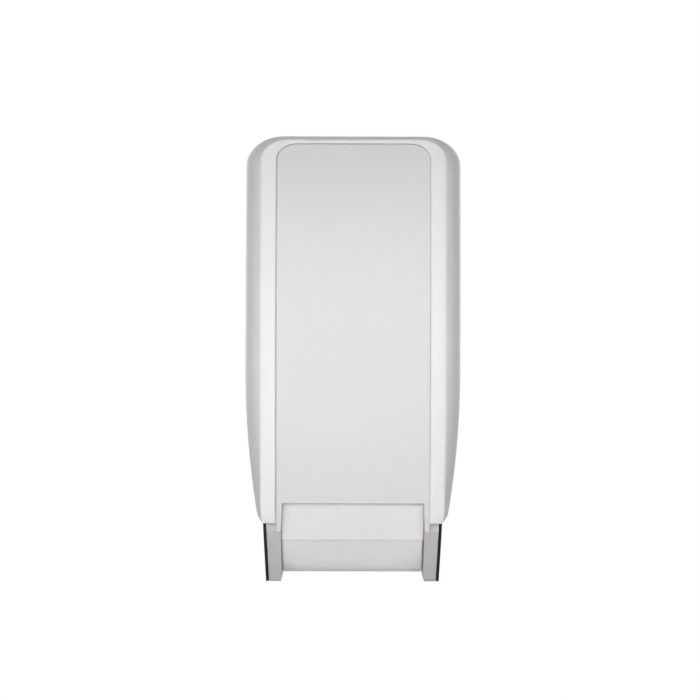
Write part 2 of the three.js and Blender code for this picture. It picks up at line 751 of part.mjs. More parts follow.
function hingePin() {
  const head = -cheekInnerHalf + fitGap + hingeHead;
  const end = -(cheekOuterHalf + hingeBoss + fitGap + hingeLugDepth);
  const body = rod(hingePinRadius, hingeAt(end), hingeAt(head - hingeHead / 2));
  return geometryOf(body.add(rod(hingeHeadRadius, hingeAt(head - hingeHead), hingeAt(head))));
}

// Wall plate
function roundedRectangle(half, foot, top, corner) {
  const shape = new THREE.Shape();
  shape.moveTo(-half + corner, foot);
  shape.lineTo(half - corner, foot);
  shape.absarc(half - corner, foot + corner, corner, -Math.PI / 2, 0);
  shape.lineTo(half, top - corner);
  shape.absarc(half - corner, top - corner, corner, 0, Math.PI / 2);
  shape.lineTo(-half + corner, top);
  shape.absarc(-half + corner, top - corner, corner, Math.PI / 2, Math.PI);
  shape.lineTo(-half, foot + corner);
  shape.absarc(-half + corner, foot + corner, corner, Math.PI, 1.5 * Math.PI);
  return shape;
}

/** Keyhole: a round entry below and a narrow slot above it. */
function keyhole(x, height) {
  const shape = new THREE.Shape();
  const edge = Math.sqrt(keyholeHead ** 2 - keyholeShank ** 2);
  const start = Math.atan2(edge, keyholeShank);
  shape.moveTo(x + keyholeShank, height + keyholeDrop);
  shape.absarc(x, height + keyholeDrop, keyholeShank, 0, Math.PI);
  shape.lineTo(x - keyholeShank, height + edge);
  shape.absarc(x, height, keyholeHead, Math.PI - start, 2 * Math.PI + start);
  shape.lineTo(x + keyholeShank, height + keyholeDrop);
  return outwardPrism(shape, -cutOverrun, plateThickness + cutOverrun);
}

/** Wall plate with stiffening ribs, keyholes, the spring's pad and the keeper for the lock. */
function backPlate() {
  const sheet = roundedRectangle(plateHalf, plateFootHeight, plateTopHeight, plateCorner);
  let plate = outwardPrism(sheet, 0, plateThickness).add(plateRibs());
  for (const x of [-keyholeHalfSpacing, keyholeHalfSpacing]) {
    for (const height of keyholeHeights()) {
      plate = plate.add(keyholePad(x, height)).subtract(keyhole(x, height));
    }
  }
  plate = plate.add(lockKeeper()).add(springPad());
  for (const height of cheekScrewHeights()) {
    const at = (depth) => [-cheekScrewX, depth, height];
    const hole = rod(screwRadius + fitGap, at(-fitGap), at(plateThickness + fitGap), smallRound);
    plate = plate.subtract(both(hole));
  }
  return geometryOf(plate);
}

/** Upright and level ribs on the plate's face. */
function plateRibs() {
  const face = plateThickness / 2;
  const ribFace = plateThickness + plateRibHeight;
  const foot = plateFootHeight + plateCorner;
  const top = plateTopHeight - plateThickness + fitGap;
  const edge = cheekInnerHalf - cheekFlangeWidth - 2 * fitGap;
  const upright = (x) => block([x - plateRib / 2, face, foot], [x + plateRib / 2, ribFace, top]);
  let ribs = upright(0).add(both(upright(-ribOffset)));
  for (let i = 0; i < plateLevelRibs; i += 1) {
    const height = mix(foot, shaftHeight, i / plateLevelRibs);
    ribs = ribs.add(block([-edge, face, height], [edge, ribFace, height + plateRib]));
  }
  return ribs;
}

function keyholeHeights() {
  return keyholeShares.map((share) => mix(plateFootHeight, plateTopHeight, share));
}

/** Thicker pad round a keyhole. */
function keyholePad(x, height) {
  const wall = keyholeHead + keyholeBoss;
  const pad = roundedRectangleAt(x, height - wall, height + keyholeDrop + keyholeShank + keyholeBoss, wall);
  return outwardPrism(pad, plateThickness / 2, plateThickness + plateRib);
}

/** Tongue at the plate's top with two webs and the lip that the locked cam stands behind. */
function lockKeeper() {
  const foot = plateTopHeight - plateThickness;
  const front = lockDepth + camWidth / 2 + fitGap + keeperThickness;
  const lipFoot = [keeperSpace, front - keeperThickness, foot];
  const lip = block(lipFoot, [keeperSpace + keeperLength, front, camTop + keeperRise]);
  const tongue = block([-keeperHalf, plateThickness / 2, foot], [keeperHalf, front, plateTopHeight]);
  return tongue.add(both(gusset(-keeperHalf, foot))).add(lip);
}

function roundedRectangleAt(x, foot, top, half) {
  const shape = new THREE.Shape();
  shape.moveTo(x - half, foot + half);
  shape.absarc(x, foot + half, half, Math.PI, 2 * Math.PI);
  shape.lineTo(x + half, top - half);
  shape.absarc(x, top - half, half, 0, Math.PI);
  return shape;
}

/** Web under the keeper's tongue. */
function gusset(x, tongueFoot) {
  const reach = lockDepth;
  const shape = outline([[plateThickness / 2, tongueFoot - reach], [plateThickness, tongueFoot - reach],
    [reach, tongueFoot + fitGap], [plateThickness / 2, tongueFoot + fitGap]]);
  return acrossPrism(shape, x, x + plateRib);
}

/** Pad on the plate that the catch spring's fixed leg bears on. */
function springPad() {
  const spring = springPlaces();
  const face = shaftDepth - spring.coilRadius - wireRadius - fitGap;
  const foot = shaftHeight - springLegLength;
  return block([spring.fixedX - springPadWidth / 2, plateThickness / 2, foot],
    [spring.fixedX + springPadWidth / 2, face, foot + springPadWidth]);
}

// Reserve roll catches
/** Nose of the catch: a ring sector round the shaft that blocks the upper pins' way down. */
function catchPlaces() {
  const toPin = Math.hypot(rollDepth - shaftDepth, upperHeight - shaftHeight);
  const outerRadius = toPin - pinRadius - fitGap;
  const clearAngle = Math.acos((rollDepth - pinRadius - fitGap - shaftDepth) / outerRadius);
  const lowAngle = clearAngle - catchReleaseAngle;
  return { outerRadius, lowAngle, highAngle: lowAngle + catchNoseHeight / outerRadius };
}

/** Two-armed lever: nose up in the channel, leg down to the release bar. */
function catchLever() {
  const { outerRadius, lowAngle, highAngle } = catchPlaces();
  const inner = outerRadius - catchNoseDepth;
  const sector = new THREE.Shape();
  sector.absarc(shaftDepth, shaftHeight, outerRadius, lowAngle, highAngle);
  sector.absarc(shaftDepth, shaftHeight, inner, highAngle, lowAngle, true);
  const lever = (shape) => acrossPrism(shape, -catchOuterHalf, -catchInnerHalf);
  const middle = (lowAngle + highAngle) / 2;
  const hubRadius = shaftRadius + fitGap + catchHub;
  const reach = (inner + outerRadius) / 2;
  const along = [Math.cos(middle), Math.sin(middle)];
  const beside = [-Math.sin(middle) * catchArmWidth / 2, Math.cos(middle) * catchArmWidth / 2];
  const end = [shaftDepth + along[0] * reach, shaftHeight + along[1] * reach];
  const arm = outline([
    [shaftDepth - beside[0], shaftHeight - beside[1]], [end[0] - beside[0], end[1] - beside[1]],
    [end[0] + beside[0], end[1] + beside[1]], [shaftDepth + beside[0], shaftHeight + beside[1]],
  ]);
  const leg = outline([
    [shaftDepth - legWidth / 2, barHeight], [shaftDepth + legWidth / 2, barHeight],
    [shaftDepth + catchArmWidth / 2, shaftHeight], [shaftDepth - catchArmWidth / 2, shaftHeight],
  ]);
  const barAt = (x) => [x, shaftDepth, barHeight];
  const footRadius = barRadius + fitGap + barBossWall;
  return lever(sector).add(lever(arm)).add(lever(leg))
    .add(rod(hubRadius, shaftAt(-catchOuterHalf), shaftAt(-catchInnerHalf)))
    .add(rod(footRadius, barAt(-catchOuterHalf), barAt(-catchInnerHalf)))
    .subtract(rod(shaftRadius + fitGap, shaftAt(-cheekInnerHalf), shaftAt(0), smallRound))
    .subtract(rod(barRadius + fitGap, barAt(-cheekInnerHalf), barAt(0), smallRound));
}

/** The left catch also carries the peg for the spring. */
function springCatch() {
  const { pegDepth, pegHeight, pegLength } = springPlaces();
  const at = (x) => [x, pegDepth, pegHeight];
  const root = -catchInnerHalf - catchThickness / 2;
  return catchLever().add(rod(springPegRadius, at(root), at(-catchInnerHalf + pegLength), smallRound));
}

function releaseShaft() {
  const end = cheekInnerHalf + cheekSkin / 2 - fitGap;
  return geometryOf(rod(shaftRadius, shaftAt(-end), shaftAt(end)));
}

function releaseBar() {
  const end = catchOuterHalf + barEnd;
  return geometryOf(rod(barRadius, [-end, shaftDepth, barHeight], [end, shaftDepth, barHeight], smallRound));
}

function springPlaces() {
  const coilRadius = shaftRadius + springPlay + wireRadius;
  const movingX = -catchInnerHalf + runGap + 3 * wireRadius;
  return {
    coilRadius,
    movingX,
    fixedX: movingX + springPitch * springTurns,
    pegDepth: shaftDepth + springPegReach,
    pegHeight: shaftHeight + coilRadius - wireRadius - fitGap - springPegRadius,
    pegLength: runGap + 5 * wireRadius,
  };
}

/** Torsion spring: a helix round the shaft, one leg down by the plate and one out over the peg. */
class SpringLine extends THREE.Curve {
  getPoint(t, target = new THREE.Vector3()) {
    const { coilRadius, movingX, fixedX } = springPlaces();
    const turnAngle = (springTurns + 1 / 4) * 2 * Math.PI;
    const coilLength = turnAngle * coilRadius;
    const whole = coilLength + 2 * springLegLength;
    const gone = t * whole;
    if (gone < springLegLength) {
      return target.set(movingX, -(shaftDepth + springLegLength - gone), shaftHeight + coilRadius);
    }
    const coil = Math.min(gone - springLegLength, coilLength);
    const angle = Math.PI / 2 + coil / coilRadius;
    const x = mix(movingX, fixedX, coil / coilLength);
    const rest = Math.max(0, gone - springLegLength - coilLength);
    const depth = shaftDepth + coilRadius * Math.cos(angle);
    return target.set(x, -depth, shaftHeight + coilRadius * Math.sin(angle) - rest);
  }
}

function catchSpring() {
  const corners = [];
  for (let i = 0; i < wireSides; i += 1) {
    const angle = (i / wireSides) * 2 * Math.PI;
    corners.push([wireRadius * Math.cos(angle), wireRadius * Math.sin(angle)]);
  }
  const options = { extrudePath: new SpringLine(), steps: springSteps * (springTurns + 2) };
  return geometryOf(solid(new THREE.ExtrudeGeometry(outline(corners), options)));
}

/** Least gap between neighbouring curls, measured on points of the wire's middle line. */
function leastSpringGap() {
  const count = springSteps ** 2 * (springTurns + 2);
  const points = new SpringLine().getPoints(count);
  const apart = springSteps ** 2 / 2;
  let least = Infinity;
  for (let i = 0; i < count; i += 1) {
    for (let j = i + apart; j <= count; j += 1) {
      least = Math.min(least, points[i].distanceTo(points[j]) - 2 * wireRadius);
    }
  }
  return least;
}

// Rolls
/** Ring about the roll's axis between two radii. */
function sleeve(half, outer, outerSides, inner, height) {
  const at = (x) => [x, rollDepth, height];
  const body = rod(outer, at(-half), at(half), outerSides);
  return body.subtract(rod(inner, at(-half - fitGap), at(half + fitGap), coreRound));
}

/** Wound paper, with a seat in each end for the plug's flange. */
function paperRoll(height) {
  const half = paperWidth / 2;
  const at = (x) => [-x, rollDepth, height];
  const seat = rod(plugFlangeRadius + fitGap, at(half + fitGap), at(half - plugFlange - fitGap));
  return geometryOf(sleeve(half, paperRadius, rollRound, coreRadius + fitGap, height).subtract(both(seat)));
}

/** Cardboard core between the two plugs' flanges. */
function core(height) {
  const half = paperWidth / 2 - plugFlange - fitGap;
  return geometryOf(sleeve(half, coreRadius, coreRound, coreRadius - coreWall, height));
}

/** Left end plug: a flange on the roll's end, a ribbed hub in the core and the channel's pin. */
function endPlug(height) {
  const at = (x) => [-x, rollDepth, height];
  const flangeOuter = paperWidth / 2;
  const flangeInner = flangeOuter - plugFlange;
  const hubRadius = coreRadius - coreWall - fitGap;
  const pinEnd = flangeOuter + pinLength;
  const hubEnd = flangeInner - plugHubLength;
  let plug = rod(plugFlangeRadius, at(flangeOuter), at(flangeInner));
  plug = plug.add(rod(hubRadius, at(flangeInner + plugFlange / 2), at(hubEnd)));
  plug = plug.subtract(rod(hubRadius - plugHubWall, at(flangeInner), at(hubEnd - fitGap)));
  for (let i = 0; i < plugRibs / 2; i += 1) {
    plug = plug.add(plugRib(height, (i / plugRibs) * 2 * Math.PI, hubRadius - plugHubWall / 2, flangeInner));
  }
  plug = plug.add(rod(pinRadius, at(pinEnd - pinChamfer), at(flangeInner)));
  const cone = new THREE.CylinderGeometry(pinRadius, pinRadius - pinChamfer, pinChamfer, round);
  cone.rotateZ(-Math.PI / 2);
  cone.translate(-pinEnd + pinChamfer / 2, -rollDepth, height);
  return geometryOf(plug.add(solid(cone)));
}

/** Web across the plug's hollow hub. */
function plugRib(height, angle, reach, flangeInner) {
  const across = [Math.cos(angle) * reach, Math.sin(angle) * reach];
  const beside = [-Math.sin(angle) * plugRibWall / 2, Math.cos(angle) * plugRibWall / 2];
  const depthAt = (s, t) => rollDepth + s * across[0] + t * beside[0];
  const heightAt = (s, t) => height + s * across[1] + t * beside[1];
  const signs = [[-1, -1], [1, -1], [1, 1], [-1, 1]];
  const web = outline(signs.map(([s, t]) => [depthAt(s, t), heightAt(s, t)]));
  return acrossPrism(web, -flangeInner - plugFlange / 2, -flangeInner + plugHubLength / 2);
}

/** Loose end of the paper: it leaves the roll slowly and hangs to its torn edge. */
function paperTail() {
  const points = [];
  const place = (share, extra) => {
    const angle = mix(tailStartAngle, tailEndAngle, share);
    const radius = paperRadius + fitGap + tailLift * share ** 2 + extra;
    return [rollDepth + radius * Math.cos(angle), lowerHeight + radius * Math.sin(angle)];
  };
  for (let i = 0; i <= tailRows; i += 1) points.push(place(i / tailRows, 0));
  for (let i = tailRows; i >= 0; i -= 1) points.push(place(i / tailRows, tailThickness));
  return geometryOf(acrossPrism(outline(points), -paperWidth / 2, paperWidth / 2));
}

// Lock
/** Point on the lock's axis. */
const lockAt = (height) => [0, lockDepth, height];

/** Square bar round the lock's axis. */
function lockSquare(half, foot, top) {
  return block([-half, lockDepth - half, foot], [half, lockDepth + half, top]);
}

function lockBody() {
  const seat = coverTopHeight + fitGap;
  const top = seat + lockFlange;
  const flange = rod(lockFlangeRadius, lockAt(seat), lockAt(top));
  const barrel = rod(lockBarrelRadius, lockAt(barrelFoot), lockAt(seat + lockFlange / 2));
  const bore = rod(lockPlugRadius + fitGap, lockAt(barrelFoot - fitGap), lockAt(top + fitGap));
  return geometryOf(flange.add(barrel).subtract(bore));
}

function lockNut() {
  const top = coverTopHeight - coverWall - fitGap;
  const foot = top - nutThickness;
  const bore = rod(lockBarrelRadius + fitGap, lockAt(foot - fitGap), lockAt(top + fitGap));
  return geometryOf(rod(nutRadius, lockAt(foot), lockAt(top), nutSides).subtract(bore));
}

/** Plug that the key turns, with a key slot above and a square tang below for the cam. */
function lockPlug() {
  const top = coverTopHeight + fitGap + lockFlange - lockPlugSink;
  const foot = barrelFoot - fitGap;
  const slot = block([-keySlot.long / 2, lockDepth - keySlot.wide / 2, top - keySlot.deep],
    [keySlot.long / 2, lockDepth + keySlot.wide / 2, top + fitGap]);
  const boreTop = foot + nutThickness + fitGap;
  const bore = rod(camScrewRadius + fitGap, lockAt(camFoot - fitGap), lockAt(boreTop), smallRound);
  const tang = lockSquare(camTang, camFoot, foot + fitGap);
  return geometryOf(rod(lockPlugRadius, lockAt(foot), lockAt(top)).add(tang).subtract(slot).subtract(bore));
}

/** Cam below the lock. It points to the wall when unlocked and behind the keeper when locked. */
function lockCam() {
  const half = camWidth / 2;
  const end = lockDepth - camLength + half;
  const arm = new THREE.Shape();
  arm.moveTo(-half, lockDepth);
  arm.lineTo(-half, end);
  arm.absarc(0, end, half, Math.PI, 2 * Math.PI);
  arm.lineTo(half, lockDepth);
  const body = upPrism(arm, camFoot, camTop).add(rod(camHubRadius, lockAt(camFoot), lockAt(camTop)));
  return geometryOf(body.subtract(lockSquare(camTang + fitGap, camFoot - fitGap, camTop + fitGap)));
}

function camScrew() {
  const size = { radius: camScrewRadius, headRadius: camTang + 2 * fitGap, headHeight: camScrewHead };
  return screw(lockAt(camFoot - fitGap), [0, 0, 1], camThickness + nutThickness, size);
}

// Materials
function finish(color, roughness, metalness = 0) {
  return new THREE.MeshStandardMaterial({ color, roughness, metalness });
}

const whitePlastic = finish('#e6e5e5', 0.42);
const greyPlastic = finish('#b4b0af', 0.5);
const blackPlastic = finish('#1e1d1c', 0.48);
const chassisPlastic = finish('#2b2a29', 0.55);
const tissue = finish('#f0eeee', 0.95);
const cardboard = finish('#a88f74', 0.9);
const plugPlastic = finish('#d8d8d6', 0.5);
const zincSteel = finish('#a9abad', 0.35, 1);
const nickel = finish('#c2c1bd', 0.25, 1);

// Assembly
const dispenser = new THREE.Group();
dispenser.position.z = -(plateFootHeight + plateTopHeight) / 2;

function place(name, geometry, material) {
  const mesh = new THREE.Mesh(geometry, material);
  mesh.name = name;
  dispenser.add(mesh);
}

/** Adds a left-hand piece and its mirrored right-hand twin. */
function placePair(name, geometry, material) {
  place(`left_${name}`, geometry, material);
  place(`right_${name}`, mirrored(geometry), material);
}

place('back_plate', backPlate(), chassisPlastic);
placePair('cheek', cheek(), blackPlastic);
placePair('arm_trim', armTrim(), greyPlastic);
cheekScrewHeights().forEach((height, i) => {
  const start = [-cheekScrewX, flangeDepth + cheekFlange - screwHeadHeight, height];
  placePair(`cheek_screw_${i + 1}`, screw(start, [0, -1, 0], start[1] - fitGap), zincSteel);
});
trimScrewPlaces().forEach(([depth, height], i) => {
  const start = [-cheekOuterHalf - fitGap, depth, height];
  placePair(`trim_screw_${i + 1}`, screw(start, [1, 0, 0], armWidth - trimWall + cheekSkin), zincSteel);
});
placePair('hinge_pin', hingePin(), zincSteel);
place('release_shaft', releaseShaft(), zincSteel);
place('left_catch', geometryOf(springCatch()), greyPlastic);
place('right_catch', mirrored(geometryOf(catchLever())), greyPlastic);
place('release_bar', releaseBar(), zincSteel);
place('catch_spring', catchSpring(), zincSteel);
place('cover_shell', coverShell(), whitePlastic);
place('front_panel', frontPanel(), whitePlastic);
place('lock_body', lockBody(), nickel);
place('lock_nut', lockNut(), nickel);
place('lock_plug', lockPlug(), nickel);
place('lock_cam', lockCam(), zincSteel);
place('cam_screw', camScrew(), zincSteel);
for (const [level, height] of [['lower', lowerHeight], ['upper', upperHeight]]) {
  place(`${level}_paper_roll`, paperRoll(height), tissue);
  place(`${level}_core`, core(height), cardboard);
  place(`${level}_left_plug`, endPlug(height), plugPlastic);
  place(`${level}_right_plug`, mirrored(endPlug(height)), plugPlastic);
}
place('paper_tail', paperTail(), tissue);

console.log(`catch spring, least gap between curls ${leastSpringGap().toFixed(2)} mm`);

export default dispenser;
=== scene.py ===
# %% [markdown]
# # A wall-mounted dispenser for two toilet rolls
#
# The dispenser is a white moulded cover over a dark chassis. A bowed front panel clips into the cover,
# two grey arms stand out below it, and the lower roll hangs between them with its loose end in a window.
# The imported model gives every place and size, so each piece below is made around it, in metres.

# %% The frame
import json
import math

import bmesh
import bpy
import numpy as np
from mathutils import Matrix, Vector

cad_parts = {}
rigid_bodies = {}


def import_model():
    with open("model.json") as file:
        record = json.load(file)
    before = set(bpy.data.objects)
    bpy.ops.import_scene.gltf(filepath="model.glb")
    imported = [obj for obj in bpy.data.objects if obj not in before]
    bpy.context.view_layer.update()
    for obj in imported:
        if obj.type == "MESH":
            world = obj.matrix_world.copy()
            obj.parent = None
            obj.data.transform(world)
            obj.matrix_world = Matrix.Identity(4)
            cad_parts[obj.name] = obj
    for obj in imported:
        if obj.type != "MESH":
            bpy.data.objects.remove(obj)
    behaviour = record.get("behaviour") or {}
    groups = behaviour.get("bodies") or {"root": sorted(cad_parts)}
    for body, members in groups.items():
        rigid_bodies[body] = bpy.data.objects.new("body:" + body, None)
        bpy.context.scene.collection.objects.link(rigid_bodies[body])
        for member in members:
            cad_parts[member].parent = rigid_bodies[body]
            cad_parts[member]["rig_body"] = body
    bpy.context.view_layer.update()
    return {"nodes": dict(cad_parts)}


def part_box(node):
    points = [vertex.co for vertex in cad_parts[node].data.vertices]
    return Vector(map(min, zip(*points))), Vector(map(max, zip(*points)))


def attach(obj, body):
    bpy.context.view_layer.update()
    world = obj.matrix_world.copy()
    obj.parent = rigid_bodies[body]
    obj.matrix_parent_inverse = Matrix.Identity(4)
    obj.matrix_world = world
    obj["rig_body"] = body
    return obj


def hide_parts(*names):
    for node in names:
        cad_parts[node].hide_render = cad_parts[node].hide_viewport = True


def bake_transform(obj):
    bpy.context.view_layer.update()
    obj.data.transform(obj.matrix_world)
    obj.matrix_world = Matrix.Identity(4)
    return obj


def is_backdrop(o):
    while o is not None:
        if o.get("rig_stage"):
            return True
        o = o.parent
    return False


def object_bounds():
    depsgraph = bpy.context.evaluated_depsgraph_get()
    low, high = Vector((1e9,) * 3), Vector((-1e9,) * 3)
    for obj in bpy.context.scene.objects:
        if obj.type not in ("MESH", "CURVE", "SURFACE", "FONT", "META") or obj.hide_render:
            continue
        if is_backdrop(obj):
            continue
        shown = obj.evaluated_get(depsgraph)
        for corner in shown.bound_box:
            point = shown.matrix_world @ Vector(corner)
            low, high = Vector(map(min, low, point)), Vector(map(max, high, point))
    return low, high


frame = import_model()

# %% [markdown]
# ## Working in millimetres
#
# A designer thinks about this product in millimetres: across it, out from the wall, and up from the tips
# of its arms. Numbers stay easy to read when the geometry is worked out that way and turned into metres
# in one place only.

# %% One place function for the whole lesson
MM = 0.001
FOOT_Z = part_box("left_cheek")[0].z / MM


def place(x, depth, height):
    """Points in metres from x across, depth off the wall and height above the arm tips, in millimetres."""
    x, depth, height = np.broadcast_arrays(x, depth, height)
    return np.stack([x, -depth, height + FOOT_Z], axis=-1) * MM


def metres(grid):
    """A grid of (x, depth, height) in millimetres as points in metres."""
    return place(grid[..., 0], grid[..., 1], grid[..., 2])


def mix(a, b, share):
    """The value a share of the way from a to b."""
    return a + (b - a) * share


def once_round(count):
    """Evenly spaced angles once round a circle."""
    return np.linspace(0, 2 * np.pi, count, endpoint=False)


def placed(name, data):
    """A new object that shows some data, linked into the scene."""
    thing = bpy.data.objects.new(name, data)
    bpy.context.scene.collection.objects.link(thing)
    return thing


print("arm tips at z =", round(FOOT_Z, 2), "mm")

# %% [markdown]
# ## The camera
#
# The photograph was taken straight on from far away: both sides of the cover show the same, and the arms
# hardly draw in with distance. A long lens from 2.7 m gives that flat, catalogue-like view. The camera
# stood a little aside and above the middle, and was held a little off level.

# %% A long lens, straight on, a little off level
CAMERA_ASIDE, CAMERA_DISTANCE, CAMERA_HEIGHT = -0.0021, 2.7, 0.0049
CAMERA_TURN = math.radians(-0.16)
PIXELS_AT_ONE_METRE, IMAGE_WIDTH = 3730, 700
SENSOR, SEES_TO = 36, 50
camera_data = bpy.data.cameras.new("camera")
camera_data.sensor_width = SENSOR
camera_data.lens = PIXELS_AT_ONE_METRE / IMAGE_WIDTH * SENSOR
camera_data.clip_end = SEES_TO
camera = placed("camera", camera_data)
camera.location = (CAMERA_ASIDE, -CAMERA_DISTANCE, CAMERA_HEIGHT)
camera.rotation_euler = (math.radians(90), CAMERA_TURN, 0)
bpy.context.scene.camera = camera
bpy.context.scene.view_settings.view_transform = "Standard"
print("lens", round(camera_data.lens, 1), "mm")

# %% [markdown]
# ## Light and background
#
# White plastic shows its shape only by small steps of grey. Wide soft boxes near the camera, one a little
# to the left, one below and one above, light the bowed front evenly, and a low box reaches the roll's
# underside. Two small boxes with a grid, which narrows their beam, stand closer, left and right: the
# slanted bands turn towards them and glow at mid height, while both ends and the sides fall away. Three
# boxes behind light the flat sides, the top and the back. The world gives a weak even fill, and is plain
# white only where the camera or a reflection looks past the object. The pale floor glows for those same
# rays alone, so the background stays white without more light.

# %% World
FILL = 0.14
world = bpy.data.worlds.new("studio")
bpy.context.scene.world = world
world.use_nodes = True
sky = world.node_tree
sky.nodes.clear()


def feed(tree, socket, value):
    """Links an input to a socket, or writes a value on it."""
    if isinstance(value, bpy.types.NodeSocket):
        tree.links.new(value, socket)
    else:
        socket.default_value = value


def add(tree, kind, *, set=None, **sockets):
    """Adds a node, sets its properties and feeds its inputs."""
    node = tree.nodes.new(kind)
    for name, value in (set or {}).items():
        setattr(node, name, value)
    for name, value in sockets.items():
        feed(tree, node.inputs[name.replace("_", " ")], value)
    return node


def math_of(tree, operation, first, second=0.0, clamp=False):
    """Output of a Math node on two values or sockets."""
    node = add(tree, "ShaderNodeMath", set={"operation": operation, "use_clamp": clamp})
    for socket, value in zip(node.inputs, (first, second)):
        feed(tree, socket, value)
    return node.outputs[0]


def new_paint(name, constants):
    """A material whose shader has some inputs set, given with its node tree and its shader."""
    paint = bpy.data.materials.new(name)
    paint.use_nodes = True
    shader = paint.node_tree.nodes["Principled BSDF"]
    for label, value in constants.items():
        shader.inputs[label].default_value = value
    return paint, paint.node_tree, shader


def looked_past(tree):
    """1 for rays of the camera, a reflection or clear glass, and 0 for rays that carry light."""
    ray = add(tree, "ShaderNodeLightPath").outputs
    seen = math_of(tree, "ADD", ray["Is Camera Ray"], ray["Is Glossy Ray"])
    return math_of(tree, "ADD", seen, ray["Is Transmission Ray"], clamp=True)


strength = add(sky, "ShaderNodeMapRange", Value=looked_past(sky), To_Min=FILL, To_Max=1.0)
background = add(sky, "ShaderNodeBackground", Color=(1, 1, 1, 1), Strength=strength.outputs[0])
add(sky, "ShaderNodeOutputWorld", Surface=background.outputs[0])
print("world fill", FILL)

# %% Floor
FLOOR_DROP, FLOOR_HALF = 2.4, 3.0
FLOOR_TONE, FLOOR_ROUGHNESS, FLOOR_GLOW = 0.82, 0.9, 0.8
floor_points = [(x * FLOOR_HALF, y * FLOOR_HALF, -FLOOR_DROP) for x, y in ((-1, -1), (1, -1), (1, 1), (-1, 1))]
floor_mesh = bpy.data.meshes.new("floor")
floor_mesh.from_pydata(floor_points, [], [(0, 1, 2, 3)])
floor = placed("floor", floor_mesh)
floor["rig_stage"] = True
floor_paint, ground, shader = new_paint("pale_floor", {
    "Base Color": (FLOOR_TONE, FLOOR_TONE, FLOOR_TONE, 1), "Roughness": FLOOR_ROUGHNESS,
    "Emission Color": (1, 1, 1, 1)})
feed(ground, shader.inputs["Emission Strength"], math_of(ground, "MULTIPLY", looked_past(ground), FLOOR_GLOW))
floor_mesh.materials.append(floor_paint)
print("floor", 2 * FLOOR_HALF, "m wide,", FLOOR_DROP, "m below the middle")

# %% Soft boxes
def soft_box(name, azimuth, elevation, width, height, power, distance=2.4, spread=180):
    """A rectangular lamp aimed at the object's middle. Azimuth 0 is in front, positive to the right.

    Its place is a point on a sphere: the sines and cosines of both angles times the distance."""
    lamp = bpy.data.lights.new(name, "AREA")
    lamp.shape = "RECTANGLE"
    lamp.size, lamp.size_y, lamp.energy = width, height, power
    lamp.spread = math.radians(spread)
    holder = placed(name, lamp)
    a, e = math.radians(azimuth), math.radians(elevation)
    away = np.array([math.sin(a) * math.cos(e), -math.cos(a) * math.cos(e), math.sin(e)])
    holder.location = away * distance
    holder.rotation_euler = (math.radians(90 - elevation), 0, math.radians(azimuth))


GRID = dict(distance=1.15, width=0.2, height=0.2, spread=42)
BEHIND = dict(width=1.2, height=1.2)
LAMPS = {
    "front_box": dict(azimuth=-8, elevation=0, width=0.5, height=0.8, power=6.5),
    "front_low_box": dict(azimuth=0, elevation=-20, width=1.2, height=0.4, power=6),
    "front_high_box": dict(azimuth=0, elevation=17, width=0.9, height=0.35, power=10),
    "low_box": dict(azimuth=0, elevation=-52, width=1.2, height=0.6, power=4.5),
    "near_left_box": dict(azimuth=-25, elevation=0, power=0.18, **GRID),
    "near_right_box": dict(azimuth=25, elevation=0, power=0.145, **GRID),
    "back_left_box": dict(azimuth=-155, elevation=12, power=7, **BEHIND),
    "back_right_box": dict(azimuth=155, elevation=12, power=7, **BEHIND),
    "back_top_box": dict(azimuth=180, elevation=55, power=4, **BEHIND),
}
for lamp_name, settings in LAMPS.items():
    soft_box(lamp_name, **settings)
print(len(LAMPS), "lamps")

# %% [markdown]
# ## Finishes
#
# Every moulded piece shares the same small faults: a fine grain from the tool's surface, a colour that
# drifts a little over the piece, and patches where hands have made it smoother. These are one node group
# with its own values in each material. It reads object coordinates, so the grain keeps its real size.

# %% Helpers for groups and materials
def new_group(name, inputs, outputs):
    """An empty shader node group with named inputs (name, kind, value) and outputs (name, kind)."""
    group = bpy.data.node_groups.new(name, "ShaderNodeTree")
    for label, kind, value in inputs:
        socket = group.interface.new_socket(label, in_out="INPUT", socket_type="NodeSocket" + kind)
        socket.default_value = value
    for label, kind in outputs:
        group.interface.new_socket(label, in_out="OUTPUT", socket_type="NodeSocket" + kind)
    entry = group.nodes.new("NodeGroupInput")
    leave = group.nodes.new("NodeGroupOutput")
    return group, entry.outputs, leave.inputs


def noise(tree, where, scale, detail, **more):
    """Socket of a noise texture that varies between 0 and 1."""
    return add(tree, "ShaderNodeTexNoise", Vector=where, Scale=scale, Detail=detail, **more).outputs["Fac"]


def varied(tree, texture, amount):
    """Texture values from 0 to 1 as changes about zero: the texture less a half, times the amount."""
    return math_of(tree, "MULTIPLY", math_of(tree, "SUBTRACT", texture, 0.5), amount)


def shaded(tree, colour, change):
    """The colour made lighter or darker: scaled by one plus twice the change."""
    factor = math_of(tree, "ADD", 1.0, math_of(tree, "MULTIPLY", change, 2.0))
    return add(tree, "ShaderNodeVectorMath", set={"operation": "SCALE"}, Vector=colour, Scale=factor).outputs[0]


def material(name, group, colour, values, constants, strength, distance):
    """A material whose colour, bump and, where the group gives it, roughness come from a node group.

    What is the same all over the surface is written on the shader's own sockets."""
    paint, tree, shader = new_paint(name, constants)
    surface = tree.nodes.new("ShaderNodeGroup")
    surface.node_tree = group
    for label, value in {"Colour": (*colour, 1), **values}.items():
        surface.inputs[label].default_value = value
    bump = add(tree, "ShaderNodeBump", Strength=strength, Distance=distance, Height=surface.outputs["Height"])
    tree.links.new(surface.outputs["Colour"], shader.inputs["Base Color"])
    if "Roughness" in surface.outputs:
        tree.links.new(surface.outputs["Roughness"], shader.inputs["Roughness"])
    tree.links.new(bump.outputs["Normal"], shader.inputs["Normal"])
    return paint


